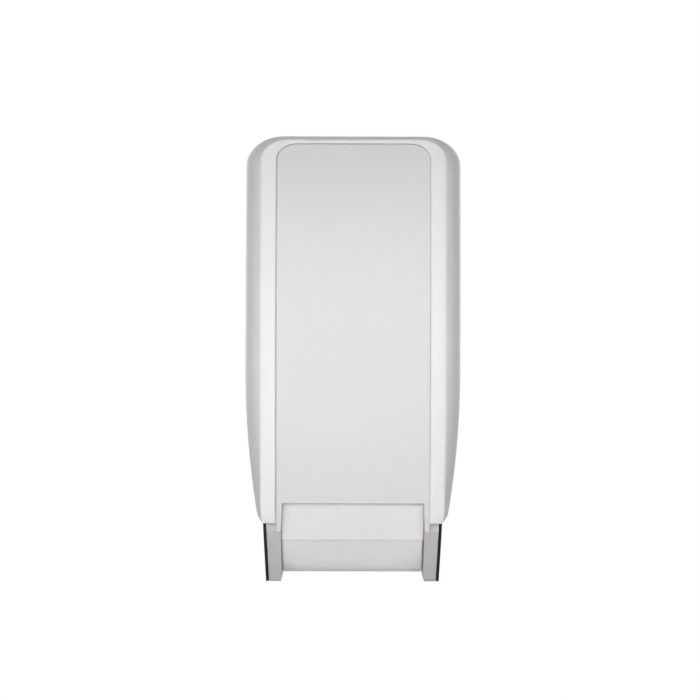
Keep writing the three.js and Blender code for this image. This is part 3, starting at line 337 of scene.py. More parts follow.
# %% Node group: moulded plastic
moulded, given, result = new_group(
    "moulded_surface",
    [("Colour", "Color", (0.8, 0.8, 0.8, 1)), ("Drift", "Float", 0.03), ("Roughness", "Float", 0.4),
     ("Handling", "Float", 0.08), ("Grain Size", "Float", 2200.0), ("Grain Height", "Float", 0.5)],
    [("Colour", "Color"), ("Roughness", "Float"), ("Height", "Float")])
where = add(moulded, "ShaderNodeTexCoord").outputs["Object"]
clouds = noise(moulded, where, scale=9.0, detail=3.0, Roughness=0.55)
touched = noise(moulded, where, scale=38.0, detail=5.0, Roughness=0.6)
grain = noise(moulded, where, scale=given["Grain Size"], detail=2.0)
moulded.links.new(shaded(moulded, given["Colour"], varied(moulded, clouds, given["Drift"])), result["Colour"])
handled = varied(moulded, touched, given["Handling"])
moulded.links.new(math_of(moulded, "ADD", given["Roughness"], handled), result["Roughness"])
moulded.links.new(math_of(moulded, "MULTIPLY", grain, given["Grain Height"]), result["Height"])
print("group:", moulded.name)

# %% Plastic materials
def plastic(name, colour, roughness, grain_height=0.5, specular=0.5):
    """A moulded plastic: its group drives colour, roughness and a fine bump, the gloss stays on the shader."""
    values = {"Roughness": roughness, "Grain Height": grain_height}
    return material(name, moulded, colour, values, {"Specular IOR Level": specular}, strength=0.35,
                    distance=0.04 * MM)


cover_white = plastic("cover_white", (0.82, 0.812, 0.815), 0.32, specular=0.06)
# painted shade: the panel's white is a darker copy of the cover's white, so the panel reads darker than the
# bands beside it
panel_white = plastic("panel_white", (0.675, 0.662, 0.668), 0.42, specular=0.35)
arm_grey = plastic("arm_grey", (0.54, 0.515, 0.51), 0.45)
cheek_black = plastic("cheek_black", (0.009, 0.008, 0.008), 0.5, grain_height=1.0, specular=0.2)
chassis_dark = plastic("chassis_dark", (0.024, 0.023, 0.022), 0.5, grain_height=1.2, specular=0.35)
plug_plastic = plastic("plug_plastic", (0.66, 0.66, 0.64), 0.5)
print("six plastics, from", cover_white.name, "to", plug_plastic.name)

# %% [markdown]
# Steel pins, screws and the lock are small, and plating makes them bright with a slightly cloudy tone.
# A second group gives that cloud and fine drawing lines to both the zinc and the nickel.

# %% Node group and materials: plated metal
plated, given, result = new_group(
    "plated_metal",
    [("Colour", "Color", (0.6, 0.6, 0.6, 1)), ("Roughness", "Float", 0.3), ("Cloud", "Float", 0.1)],
    [("Colour", "Color"), ("Roughness", "Float"), ("Height", "Float")])
where = add(plated, "ShaderNodeTexCoord").outputs["Object"]
cloudy = varied(plated, noise(plated, where, scale=420.0, detail=4.0, Roughness=0.6), given["Cloud"])
drawn = add(plated, "ShaderNodeMapping", Vector=where, Scale=(300.0, 6000.0, 6000.0)).outputs[0]
plated.links.new(shaded(plated, given["Colour"], cloudy), result["Colour"])
plated.links.new(math_of(plated, "ADD", given["Roughness"], cloudy), result["Roughness"])
plated.links.new(noise(plated, drawn, scale=1.0, detail=2.0), result["Height"])


def metal(name, colour, roughness, cloud_share):
    """A plated metal with cloudy tone and fine drawing lines."""
    values = {"Roughness": roughness, "Cloud": cloud_share}
    return material(name, plated, colour, values, {"Metallic": 1.0}, strength=0.25, distance=0.03 * MM)


zinc_steel = metal("zinc_plate", (0.60, 0.60, 0.61), 0.32, 0.12)
nickel = metal("nickel_plate", (0.72, 0.70, 0.67), 0.2, 0.06)
print("metals:", zinc_steel.name, nickel.name)

# %% [markdown]
# Tissue is matt and slightly fluffy: short fibres lie in every direction and the sheet is a little uneven.
# Two stretched noises at right angles stand for the fibres, and a soft cloud for the uneven making. The roll's
# copy of the tissue is painted a tone darker than the loose sheet's: painted shade, for the roll lies behind
# the loose sheet and gets less light.

# %% Tissue and cardboard
tissue_group, given, result = new_group(
    "tissue_fibres",
    [("Colour", "Color", (0.86, 0.85, 0.85, 1)), ("Cloud", "Float", 0.04)],
    [("Colour", "Color"), ("Height", "Float")])
where = add(tissue_group, "ShaderNodeTexCoord").outputs["Object"]
fibre_heights = []
for stretch in ((1400.0, 5200.0, 5200.0), (5200.0, 1400.0, 1400.0)):
    laid = add(tissue_group, "ShaderNodeMapping", Vector=where, Scale=stretch).outputs[0]
    fibre_heights.append(noise(tissue_group, laid, scale=1.0, detail=3.0))
uneven = varied(tissue_group, noise(tissue_group, where, scale=260.0, detail=4.0), given["Cloud"])
tissue_group.links.new(shaded(tissue_group, given["Colour"], uneven), result["Colour"])
tissue_group.links.new(math_of(tissue_group, "MAXIMUM", *fibre_heights), result["Height"])


def paper(name, colour):
    """A soft, matt tissue whose fibres catch light at the edges like a thin sheen."""
    matt = {"Roughness": 0.95, "Specular IOR Level": 0.2, "Diffuse Roughness": 1.0,
            "Sheen Weight": 1.0, "Sheen Roughness": 0.6}
    return material(name, tissue_group, colour, {}, matt, strength=0.5, distance=0.06 * MM)


tissue = paper("soft_tissue", (0.79, 0.78, 0.784))
# painted shade: the wound roll's tissue is a darker copy of the loose sheet's tissue
shaded_roll_tissue = paper("shaded_roll_tissue", (0.715, 0.705, 0.709))

DARK_FLECK, PALE_FLECK = (0.3, (0.30, 0.215, 0.14, 1)), (0.7, (0.44, 0.33, 0.225, 1))
cardboard, tree, board = new_paint("grey_board", {"Roughness": 0.85})
where = add(tree, "ShaderNodeTexCoord").outputs["Object"]
flecks = noise(tree, where, scale=900.0, detail=4.0, Roughness=0.7)
tone = add(tree, "ShaderNodeValToRGB", Fac=flecks)
for element, (position, colour) in zip(tone.color_ramp.elements, (DARK_FLECK, PALE_FLECK)):
    element.position, element.color = position, colour
board_bump = add(tree, "ShaderNodeBump", Strength=0.4, Distance=0.05 * MM, Height=flecks)
tree.links.new(tone.outputs["Color"], board.inputs["Base Color"])
tree.links.new(board_bump.outputs["Normal"], board.inputs["Normal"])
print("papers:", tissue.name, shaded_roll_tissue.name, cardboard.name)

# %% [markdown]
# ## Putting a surface into Blender
#
# All new pieces are grids of points. A grid of rows and columns becomes quads by one rule: each quad joins
# a point, its neighbour in the row, and the same two points of the next row. Grids that meet share points
# at the same place, and merging those closes the piece.

# %% Grids to meshes
MERGE = 2e-6
SMOOTH_ANGLE = math.radians(32)


def grid_quads(rows, columns, start=0, close_rows=False, close_columns=False):
    """Index quads of a grid of rows by columns, counted from start, with either direction closed to a ring."""
    r = np.arange(rows if close_rows else rows - 1)
    c = np.arange(columns if close_columns else columns - 1)
    r, c = np.meshgrid(r, c, indexing="ij")
    r2, c2 = (r + 1) % rows, (c + 1) % columns
    quads = np.stack([r * columns + c, r * columns + c2, r2 * columns + c2, r2 * columns + c], axis=-1)
    return quads.reshape(-1, 4) + start


class Skin:
    """Collects blocks of points and faces, and turns them into one merged piece."""

    def __init__(self):
        self.points, self.faces, self.count = [], [], 0

    def grid(self, points, close_rows=False, close_columns=False, keep=None):
        """Adds a grid of points with the shape (rows, columns, 3); keep masks its quads."""
        rows, columns = points.shape[:2]
        quads = grid_quads(rows, columns, self.count, close_rows, close_columns)
        if keep is not None:
            quads = quads[keep.ravel()]
        self.points.append(points.reshape(-1, 3))
        self.faces.extend(quads.tolist())
        self.count += rows * columns

    def polygon(self, points):
        """Adds one flat face."""
        self.points.append(np.asarray(points).reshape(-1, 3))
        self.faces.append(list(range(self.count, self.count + len(points))))
        self.count += len(points)

    def mesh(self, name):
        """One mesh with its doubled points merged and its normals pointing out."""
        data = bpy.data.meshes.new(name)
        data.from_pydata(np.concatenate(self.points).tolist(), [], self.faces)
        work = bmesh.new()
        work.from_mesh(data)
        bmesh.ops.remove_doubles(work, verts=work.verts, dist=MERGE)
        bmesh.ops.dissolve_degenerate(work, edges=work.edges, dist=MERGE)
        bmesh.ops.recalc_face_normals(work, faces=work.faces)
        open_edges = sum(1 for edge in work.edges if len(edge.link_faces) != 2)
        work.to_mesh(data)
        work.free()
        print(f"{name}: {len(data.polygons)} faces, {open_edges} open edges")
        return data


def piece(name, data, body, finish, nodes=(), angle=SMOOTH_ANGLE):
    """A finished piece: smooth except over sharp edges, with its finish, riding on its body."""
    shown = placed(name, data)
    data.shade_smooth()
    data.set_sharp_from_angle(angle=angle)
    data.materials.clear()
    data.materials.append(finish)
    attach(shown, body)
    if nodes:
        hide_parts(*nodes)
    return shown


def soften(shown, width, segments, angle):
    """A Bevel modifier that rounds edges sharper than an angle and leaves flat faces flat."""
    edge = shown.modifiers.new("soft edge", "BEVEL")
    edge.width, edge.segments = width * MM, segments
    edge.limit_method, edge.angle_limit = "ANGLE", math.radians(angle)
    edge.harden_normals = True


def beside_cad(shown, node):
    """Prints how far a piece's box lies from the box of the CAD node that it stands for."""
    points = np.array([vertex.co for vertex in shown.data.vertices])
    low, high = (np.array(corner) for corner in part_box(node))
    low_off, high_off = (points.min(0) - low) / MM, (points.max(0) - high) / MM
    print(f"  {shown.name}: low corner off by {low_off.round(2)}, high corner by {high_off.round(2)} mm")


# %% [markdown]
# ## The cover's form
#
# Seen from the front, the cover is an arch: upright sides that draw in towards the foot, rounded top
# corners and a flat top. Its front is bowed like a barrel. A moulder thinks of it as one section, from the
# wall round to the front panel, carried along that arch, and so does this code: every ring below is the
# same arch with its own half width, top, corner and depth.

# %% Sizes of the cover
COVER_WALL = 2.5
COVER_FOOT, COVER_TOP = 42.0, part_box("cover_shell")[1].z / MM - FOOT_Z
FRONT = -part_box("front_panel")[0].y / MM
FRONT_SAG, APEX_SHARE = 18.4, 0.48
PANEL_HALF, BAND_WIDTH, SIDE_REACH, SIDE_DRAFT = 53.2, 10.2, 11.0, 3.1
BAND_HALF = PANEL_HALF + BAND_WIDTH
BAND_DROP, BAND_TOP_DROP, PANEL_TOP_DROP = 1.8, 2.8, 5.4
TOP_BAND_DROP = 0.1
SIDE_ROUND, TOP_ROUND = 26.0, 9.0
EDGE_START = math.radians(42)
OUTLINE_CORNER, BAND_CORNER, PANEL_CORNER = (26.5, 19.4), (18.6, 13.5), (15.0, 11.5)
TAPER_HEIGHT, FOOT_DRAW_IN = 150.0, 8.95
HINGE_DEPTH, HINGE_SWEEP = 12.0, 11.5
HINGE_HEIGHT = COVER_FOOT + HINGE_SWEEP
FOOT_CORNER, REAR_SPACE = 3.5, 0.5
PANEL_SINK, CAVITY_INSET = 2.3, 4.1
APEX = COVER_FOOT + APEX_SHARE * (COVER_TOP - COVER_FOOT)
FRONT_RADIUS = ((COVER_TOP - APEX) ** 2 + FRONT_SAG ** 2) / (2 * FRONT_SAG)
TAPER_DROP = TAPER_HEIGHT - COVER_FOOT
TAPER_RADIUS = (TAPER_DROP ** 2 + FOOT_DRAW_IN ** 2) / (2 * FOOT_DRAW_IN)


def front_depth(height):
    """Depth of the bowed front: a circle's arc whose most forward point is at the apex height."""
    return FRONT - FRONT_RADIUS + np.sqrt(FRONT_RADIUS ** 2 - (height - APEX) ** 2)


def taper(height):
    """How far the sides have drawn in: a circle's arc below the taper height, nothing above it."""
    below = np.maximum(0, TAPER_HEIGHT - height)
    return TAPER_RADIUS - np.sqrt(TAPER_RADIUS ** 2 - below ** 2)


print("cover top", round(COVER_TOP, 2), "front", round(FRONT, 2), "apex height", round(APEX, 1))

# %% Rows of the arch
WINDOW_TOP, LIP_THICKNESS, FIT = 55.9, 1.6, 0.3
TAB_FOOT, FLOOR_RISE = 36.4, 4.0
WINDOW_HALF_TOP, WINDOW_HALF_FOOT = 48.5, 49.3
WINDOW_SLOPE = (WINDOW_HALF_FOOT - WINDOW_HALF_TOP) / (WINDOW_TOP - TAB_FOOT)
HOOK_HALF, HOOK_THICK, HOOK_INSET, HOOK_SHARES = 6.0, 1.8, 8.0, (0.2, 0.78)
PANEL_TOP = COVER_TOP - PANEL_TOP_DROP
HOOKS = [mix(WINDOW_TOP, PANEL_TOP, share) for share in HOOK_SHARES]
HINGE_STEPS, SIDE_STEPS, CORNER_STEPS = 12, 46, 18

hinge_rows = HINGE_HEIGHT - HINGE_SWEEP * np.cos(np.linspace(0, np.pi / 2, HINGE_STEPS))
shell_window_top = WINDOW_TOP + LIP_THICKNESS + FLOOR_RISE
slot_edges = [h + side * (HOOK_HALF + FIT) for h in HOOKS for side in (-1, 1)]
seam_corner_foot = PANEL_TOP - PANEL_CORNER[1]
side_rows = np.linspace(HINGE_HEIGHT, seam_corner_foot, SIDE_STEPS)
side_heights = np.unique(np.concatenate([hinge_rows, [shell_window_top], slot_edges, side_rows]).round(6))
SHARES = (side_heights - COVER_FOOT) / (seam_corner_foot - COVER_FOOT)
TURNS = np.linspace(0, np.pi / 2, CORNER_STEPS + 1)[1:]


def arch_rows(half_at, top, corner, foot=COVER_FOOT, shares=SHARES):
    """Rows of one ring from foot to top: (half width, height, angle gone round the corner).

    The side runs straight up to the corner, and the corner is a quarter of an ellipse."""
    wide, high = corner
    corner_foot = top - high
    side = mix(foot, corner_foot, shares)
    half = np.concatenate([half_at(side), half_at(corner_foot) - wide * (1 - np.cos(TURNS))])
    height = np.concatenate([side, top - high * (1 - np.sin(TURNS))])
    return half, height, np.concatenate([np.zeros_like(side), TURNS])


def cover_ring(angle, wall=0.0, inset=BAND_DROP, top_inset=TOP_BAND_DROP):
    """Ring of the cover's rounded edge at an angle: 90 degrees is the outline, the start angle the band.

    Width grows with the sine of the angle and depth falls with its cosine, both scaled to their spans.
    The inset behind the front goes over from its side value to its top value round the corner."""
    start = EDGE_START
    reach = (np.sin(angle) - np.sin(start)) / (1 - np.sin(start))
    fall = (np.cos(start) - np.cos(angle)) / np.cos(start)
    corner = [mix(a, b, reach) - wall for a, b in zip(BAND_CORNER, OUTLINE_CORNER)]
    top = COVER_TOP - BAND_TOP_DROP * (1 - reach) - wall
    half, height, turn = arch_rows(lambda h: BAND_HALF + (SIDE_REACH - taper(h)) * reach - wall, top, corner)
    side_fall = (BAND_DROP + SIDE_ROUND - inset) * np.cos(turn) ** 2
    sunk = mix(inset, top_inset, np.sin(turn) ** 2)
    depth = front_depth(height) - sunk - (side_fall + TOP_ROUND * np.sin(turn) ** 2) * fall
    return np.stack([half, depth, height], axis=-1)


def seam_ring(drop=0.0):
    """Ring along the panel's seam, set back by drop."""
    half, height, _ = arch_rows(lambda h: PANEL_HALF + 0 * h, PANEL_TOP, PANEL_CORNER)
    return np.stack([half, front_depth(height) - drop, height], axis=-1)


print(len(SHARES) + CORNER_STEPS, "rows from foot to top")

# %% [markdown]
# ## The cover shell
#
# The outer skin runs from the wall over the side, round the edge, across the slanted band and down into
# the groove that carries the panel. The inner skin is the same form, one wall thickness inside. Moulded
# plastic has no knife edges, so each crease ring is replaced by a few rings on a small curve.

# %% Outer and inner skin of the shell
EDGE_RINGS, EASE_RINGS, BAND_EASE, SEAM_EASE, EASE_SHARE = 16, 5, 1.4, 0.45, 0.49
SIDE_SHARES = np.linspace(0, 1, 8)[:-1]


def eased(before, crease, after, radius):
    """Rings on a small curve that cuts off a crease: a quadratic curve between two points beside it.

    Each of the two points lies less than half way to the next ring."""
    start, end = (crease + way * np.minimum(EASE_SHARE, radius / np.linalg.norm(way, axis=-1, keepdims=True))
                  for way in (before - crease, after - crease))
    t = np.linspace(0, 1, EASE_RINGS)[:, None, None]
    return list((1 - t) ** 2 * start + 2 * t * (1 - t) * crease + t ** 2 * end)


def rear_depth(height):
    """Depth of the rear edge: close to the wall, and on a circle round the hinge near the foot."""
    below = np.clip(HINGE_HEIGHT - height, 0, HINGE_SWEEP)
    return np.maximum(REAR_SPACE, HINGE_DEPTH - np.sqrt(HINGE_SWEEP ** 2 - below ** 2))


SIDE_END = front_depth(COVER_FOOT) - BAND_DROP - SIDE_ROUND
SIDE_SLOPE = SIDE_DRAFT / (SIDE_END - REAR_SPACE)


def side_rings(edge):
    """Rings from the wall to just behind an edge: the sides have draft, so they spread straight to the wall."""
    rear = edge.copy()
    rear[:, 1] = rear_depth(edge[:, 2])
    rear[:, 0] += SIDE_DRAFT * (edge[:, 1] - rear[:, 1]) / (edge[:, 1] - REAR_SPACE)
    return [mix(rear, edge, share) for share in SIDE_SHARES]


angles = np.linspace(np.pi / 2, EDGE_START, EDGE_RINGS + 1)
outer = [cover_ring(angle) for angle in angles]
seam_edge, seam_floor = seam_ring(), seam_ring(drop=PANEL_SINK)
groove = eased(outer[-1], seam_edge, seam_floor, SEAM_EASE) + [seam_floor]
outer_skin = side_rings(outer[0]) + outer[:-1] + eased(outer[-2], outer[-1], seam_edge, BAND_EASE) + groove
foot_limit = BAND_HALF + SIDE_REACH - taper(COVER_FOOT)
inner = [cover_ring(angle, COVER_WALL, CAVITY_INSET, CAVITY_INSET) for angle in angles]
outer_skin, inner_skin = np.array(outer_skin), np.array(side_rings(inner[0]) + inner)
print("outer skin", outer_skin.shape[:2], "inner skin", inner_skin.shape[:2])

# %% [markdown]
# The cover's lower outer corners are rounded off in the front view, and its foot edge is softened all
# round. Both are moves of the points near the foot: the corner limits how far out a point may lie, and
# the softened edge pushes points in along their normals on a quarter circle.

# %% Rounding at the foot
FOOT_EASE, FOOT_REACH = 2.4, 9.0


def grid_normals(points):
    """Normals of a grid from the cross product of its two directions."""
    along = np.gradient(points, axis=0)
    across = np.gradient(points, axis=1)
    normal = np.cross(along, across)
    return normal / np.maximum(np.linalg.norm(normal, axis=-1, keepdims=True), 1e-9)


def quarter_round(distance, radius):
    """How far a rounded edge lies below a sharp one, at a distance from it."""
    left = np.clip(radius - distance, 0, radius)
    return radius - np.sqrt(radius ** 2 - left ** 2)


heights = outer_skin[..., 2]
limit = foot_limit + SIDE_SLOPE * (SIDE_END - outer_skin[..., 1])
limit -= quarter_round(heights - COVER_FOOT, FOOT_CORNER)
in_corner = heights < COVER_FOOT + FOOT_CORNER
outer_skin[..., 0] = np.where(in_corner, np.minimum(outer_skin[..., 0], limit), outer_skin[..., 0])
face_out = grid_normals(outer_skin)
face_out *= np.sign(face_out[:1, :, :1] + 1e-12)
visible = slice(0, len(outer_skin) - len(groove))
ease = quarter_round(heights[visible] - COVER_FOOT, FOOT_REACH)[..., None] * FOOT_EASE / FOOT_REACH
soft = outer_skin[visible] - face_out[visible] * ease
soft[..., 2] = heights[visible]
outer_skin[visible] = soft
print("foot eased by", FOOT_EASE, "mm over", FOOT_REACH)

# %% The floor behind the panel, with the window and four hook slots
HOOK_OUTER, HOOK_WIDE = PANEL_HALF - HOOK_INSET, HOOK_THICK + 2 * FIT
FLOOR_COLUMNS, WINDOW_MARGIN, SAME = (12.0, 26.0, 40.0), 0.6, 1e-3


def window_half(height):
    """Half width of the window: it widens towards its foot."""
    return WINDOW_HALF_TOP + (WINDOW_TOP - height) * WINDOW_SLOPE


def floor_grid(ring, edge_half):
    """Rows across between a ring's two sides, with columns on the window's edge and the hook slots' edges."""
    half, depth, height = ring.T
    shrink = half / edge_half
    window = np.minimum(window_half(height) + FIT, edge_half - WINDOW_MARGIN)
    window = np.where(height <= shell_window_top + SAME, window, window_half(shell_window_top) + FIT)
    columns = [c * shrink for c in (0.0, *FLOOR_COLUMNS, HOOK_OUTER - HOOK_WIDE, HOOK_OUTER, window)] + [half]
    x = np.stack([-c for c in columns[::-1]] + columns[1:], axis=1)
    return np.stack(np.broadcast_arrays(x, depth[:, None], height[:, None]), axis=-1)


top_floor = floor_grid(seam_floor, PANEL_HALF)
under_floor = floor_grid(inner_skin[-1], BAND_HALF - COVER_WALL)
row_low = seam_floor[:-1, 2]
x_inner = np.abs((top_floor[0, :-1, 0] + top_floor[0, 1:, 0]) / 2)
keep = np.ones((len(row_low), len(x_inner)), bool)
keep &= ~((row_low < shell_window_top - SAME)[:, None] & (x_inner < WINDOW_HALF_TOP)[None, :])
for hook in HOOKS:
    in_rows = (row_low > hook - HOOK_HALF - FIT - SAME) & (row_low < hook + HOOK_HALF + FIT - SAME)
    in_columns = (x_inner > HOOK_OUTER - HOOK_WIDE) & (x_inner < HOOK_OUTER)
    keep &= ~(in_rows[:, None] & in_columns[None, :])
print("floor", keep.shape, "with", int((~keep).sum()), "open cells")


def wall_strips(skin, near, far, kept, rim=False):
    """Walls between two grids wherever a kept cell meets an open one, and with rim round the outside too."""
    padded = np.pad(kept, 1, mode="constant" if rim else "edge").astype(int)
    for axis, cells in enumerate((padded[:, 1:-1], padded[1:-1])):
        for row, column in np.argwhere(np.diff(cells, axis=axis)):
            a, b = (row, column), (row + axis, column + 1 - axis)
            skin.polygon([near[a], near[b], far[b], far[a]])


# %% Closing the shell
def left_of(grid):
    """The mirrored left-hand twin of a right-hand grid."""
    return grid * np.array([-1.0, 1.0, 1.0])


def whole_arch(rings, top_row):
    """Rings from the left foot over the top to the right foot, with the top divided as top_row is."""
    shares = top_row[1:-1, 0] / top_row[-1, 0]
    flat_top = np.repeat(rings[:, -1:], len(shares), axis=1)
    flat_top[..., 0] *= shares
    return np.concatenate([left_of(rings), flat_top, rings[:, ::-1]], axis=1)


outer_arch = whole_arch(outer_skin, top_floor[-1])
inner_arch = whole_arch(inner_skin, under_floor[-1])
shell = Skin()
shell.grid(metres(outer_arch))
shell.grid(metres(inner_arch))
shell.grid(metres(np.stack([outer_arch[0], inner_arch[0]])))
shell.grid(metres(top_floor), keep=keep)
shell.grid(metres(under_floor), keep=keep)
wall_strips(shell, metres(top_floor), metres(under_floor), keep)
kept_foot = np.flatnonzero(keep[0])
right_columns = np.arange(kept_foot[kept_foot > len(x_inner) // 2][0], len(x_inner) + 1)
foot_loop = np.concatenate([outer_skin[:, 0], top_floor[0, right_columns[::-1]][1:],
                            under_floor[0, right_columns], inner_skin[::-1, 0][1:]])
for side in (foot_loop, left_of(foot_loop)):
    shell.polygon(metres(side))
shell_mesh = shell.mesh("cover_shell_moulding")

# %% [markdown]
# The lock's barrel passes through a hole in the cover's top. The hole is a straight cut, which Blender's
# Boolean modifier does exactly; its result is kept and the cutter is thrown away.

# %% Lock hole and hinge lugs
LOCK_DEPTH, LOCK_HOLE, CUT_REACH, BAR_SIDES = 24.0, 8.3, 12.0, 64


def round_bar(centre, axis, radius, start, end):
    """A round bar along an axis, as a grid of four rings: a centre, both rims and the other centre."""
    angle = once_round(BAR_SIDES)
    second, third = (axis + 1) % 3, (axis + 2) % 3
    rings = []
    for r, along in ((0.0, start), (radius, start), (radius, end), (0.0, end)):
        ring = np.zeros((BAR_SIDES, 3))
        ring[:, axis] = along
        ring[:, second] = centre[second] + r * np.cos(angle)
        ring[:, third] = centre[third] + r * np.sin(angle)
        rings.append(ring)
    return np.array(rings)


def cut(target, cutter_mesh):
    """Cuts one mesh out of another with an exact Boolean, and returns the finished mesh."""
    body, knife = placed("cut_body", target), placed("cut_knife", cutter_mesh)
    change = body.modifiers.new("cut", "BOOLEAN")
    change.operation, change.solver, change.object = "DIFFERENCE", "EXACT", knife
    done = bpy.data.meshes.new_from_object(body.evaluated_get(bpy.context.evaluated_depsgraph_get()))
    for thing in (body, knife):
        bpy.data.objects.remove(thing)
    return done


knife_skin = Skin()
barrel = round_bar((0, LOCK_DEPTH, 0), 2, LOCK_HOLE, COVER_TOP - CUT_REACH, COVER_TOP + CUT_REACH)
knife_skin.grid(metres(barrel), close_columns=True)
shell_mesh = cut(shell_mesh, knife_skin.mesh("lock_cut"))
cover_shell = piece("cover_shell_moulding", shell_mesh, "cover", cover_white, ["cover_shell"])
beside_cad(cover_shell, "cover_shell")

LUG_RADIUS, LUG_INNER, LUG_BORE, LUG_BORE_END, LUG_SINK = 8.0, 64.5, 2.8, 67.0, 1.2
HINGE = (0, HINGE_DEPTH, HINGE_HEIGHT)
LUG_OUTER = BAND_HALF + SIDE_REACH - taper(HINGE_HEIGHT) + SIDE_SLOPE * (SIDE_END - HINGE_DEPTH) - LUG_SINK
lug_skin = Skin()
for side in (-1, 1):
    lug = round_bar(HINGE, 0, LUG_RADIUS, side * LUG_INNER, side * LUG_OUTER)
    bore = round_bar(HINGE, 0, LUG_BORE, side * LUG_INNER, side * LUG_BORE_END)
    lug_skin.grid(metres(np.concatenate([bore[:0:-1], lug[1:]])), close_columns=True)
piece("cover_hinge_lugs", lug_skin.mesh("cover_hinge_lugs"), "cover", cover_white)

# %% [markdown]
# ## The front panel
#
# The panel is a second moulding, 2 mm thick, bowed like the cover and clipped into its groove. Below the
# window it goes on as two narrow tabs. It is a sheet between two grids, with a row of cells left out for
# the window, and a Bevel modifier rounds its rim.

# %% Panel sheet, window lip and hooks
PANEL_THICK, PANEL_EASE, PANEL_SHIFT, RIM = 2.0, 0.6, 0.22, 1.6
OVER_WINDOW, PLAIN_FROM, PANEL_COLUMNS, NEAR_WINDOW = (58.0, 61.0), 64.0, (15.0, 30.0), 2.0
WINDOW_ROWS, PLAIN_ROWS = 9, 44
panel_top = PANEL_TOP - FIT
panel_corner = [size - FIT for size in PANEL_CORNER]
panel_rows = np.concatenate([np.linspace(TAB_FOOT, WINDOW_TOP, WINDOW_ROWS), OVER_WINDOW,
                             np.linspace(PLAIN_FROM, panel_top - panel_corner[1], PLAIN_ROWS)])
panel_shares = (panel_rows - TAB_FOOT) / (panel_rows[-1] - TAB_FOOT)


def panel_ring(shrink):
    """Ring of the panel's outline, as (x, height), drawn in by shrink but not at its foot."""
    corner = [size - shrink for size in panel_corner]
    half, height, _ = arch_rows(lambda h: PANEL_HALF - FIT - shrink + 0 * h, panel_top - shrink, corner,
                                TAB_FOOT, panel_shares)
    return np.stack([half, height], axis=-1)


rim, inside = panel_ring(0.0), panel_ring(RIM)
drawn_in = inside[:, 0] / (PANEL_HALF - FIT - RIM)
window_edge = np.where(inside[:, 1] <= WINDOW_TOP + SAME, window_half(inside[:, 1]), WINDOW_HALF_TOP) * drawn_in
columns = [c * drawn_in for c in (0.0, *PANEL_COLUMNS, WINDOW_HALF_TOP - NEAR_WINDOW)]
x_right = np.stack(columns + [window_edge, inside[:, 0]], axis=1)
x_all = np.concatenate([-x_right[:, ::-1], x_right[:, 1:]], axis=1)
height_all = np.broadcast_to(inside[:, 1][:, None], x_all.shape)
x_all = np.concatenate([-rim[:, :1], x_all, rim[:, :1]], axis=1)
height_all = np.concatenate([rim[:, 1:], height_all, rim[:, 1:]], axis=1)
top_x = np.clip(x_all[-1], -rim[-1, 0], rim[-1, 0])
x_all = np.vstack([x_all, top_x])
height_all = np.vstack([height_all, np.full(len(top_x), panel_top)])
panel_keep = np.ones((x_all.shape[0] - 1, x_all.shape[1] - 1), bool)
middle_x = np.abs(x_all[0, :-1] + x_all[0, 1:]) / 2
panel_keep &= ~((height_all[:-1, 1] < WINDOW_TOP - SAME)[:, None] & (middle_x < WINDOW_HALF_TOP)[None, :])


def panel_surface(inset):
    """The panel's grid at an inset behind the bowed front: it sits a little to the right in its groove."""
    return place(x_all + PANEL_SHIFT, front_depth(height_all) - inset, height_all)


front_face, back_face = panel_surface(0), panel_surface(PANEL_THICK)
panel_skin = Skin()
panel_skin.grid(front_face, keep=panel_keep)
panel_skin.grid(back_face, keep=panel_keep)
wall_strips(panel_skin, front_face, back_face, panel_keep, rim=True)
panel_mesh = panel_skin.mesh("front_panel_moulding")
# the panel, its lip and its hooks wear the white that is painted darker as shade
front_panel = piece("front_panel_moulding", panel_mesh, "cover", panel_white, ["front_panel"])
soften(front_panel, PANEL_EASE, segments=3, angle=50)
beside_cad(front_panel, "front_panel")


def prism(skin, outline, low, high, axis):
    """Runs a closed outline along an axis between two values, and closes both ends.

    The outline's points give the other two of (x, depth, height), in that order."""
    outline = np.asarray(outline, float)
    ends = [np.insert(outline, axis, value, axis=1) for value in (low, high)]
    skin.grid(metres(np.array(ends)), close_columns=True)
    for end in ends:
        skin.polygon(metres(end))


LIP_DEPTH, LIP_SINK, LIP_EASE = 3.6, 0.6, 0.5
lip_back, lip_face = front_depth(WINDOW_TOP) - LIP_DEPTH, front_depth(WINDOW_TOP) - LIP_SINK
quarter = np.linspace(0, np.pi / 2, 5)
foot_curve = np.stack([lip_back + LIP_EASE * (1 - np.sin(quarter)),
                       WINDOW_TOP + LIP_EASE * (1 - np.cos(quarter))], axis=1)
lip_outline = np.vstack([[lip_face, WINDOW_TOP], foot_curve, [lip_back, WINDOW_TOP + LIP_THICKNESS],
                         [lip_face, WINDOW_TOP + LIP_THICKNESS]])
lip_skin = Skin()
prism(lip_skin, lip_outline, -WINDOW_HALF_TOP, WINDOW_HALF_TOP, 0)
piece("window_lip", lip_skin.mesh("window_lip"), "cover", panel_white)

HOOK_BARB, HOOK_NOSE, HOOK_ROOT_SINK = 1.4, 0.6, 1.2
hook_outer = HOOK_OUTER - FIT
hook_inner, barb = hook_outer - HOOK_THICK, hook_outer + HOOK_BARB
hook_skin = Skin()
for hook in HOOKS:
    low, high = hook - HOOK_HALF, hook + HOOK_HALF
    behind = min(front_depth(low), front_depth(high)) - CAVITY_INSET - FIT
    end, root = behind - HOOK_THICK, front_depth(hook) - HOOK_ROOT_SINK
    for side in (-1, 1):
        ell = [(hook_inner, root), (hook_inner, end), (hook_outer, end), (barb, behind - HOOK_NOSE),
               (barb, behind), (hook_outer, behind), (hook_outer, root)]
        prism(hook_skin, np.array(ell) * [side, 1], low, high, 2)
piece("panel_hooks", hook_skin.mesh("panel_hooks"), "cover", panel_white)

# %% [markdown]
# ## Rolls of paper
#
# A roll is a sheet wound hundreds of times, so its ends show fine uneven rings and its skin is never quite
# round. A profile of radius against width, carried round the spindle, gives the form; small waves in both
# parameters give the layers.

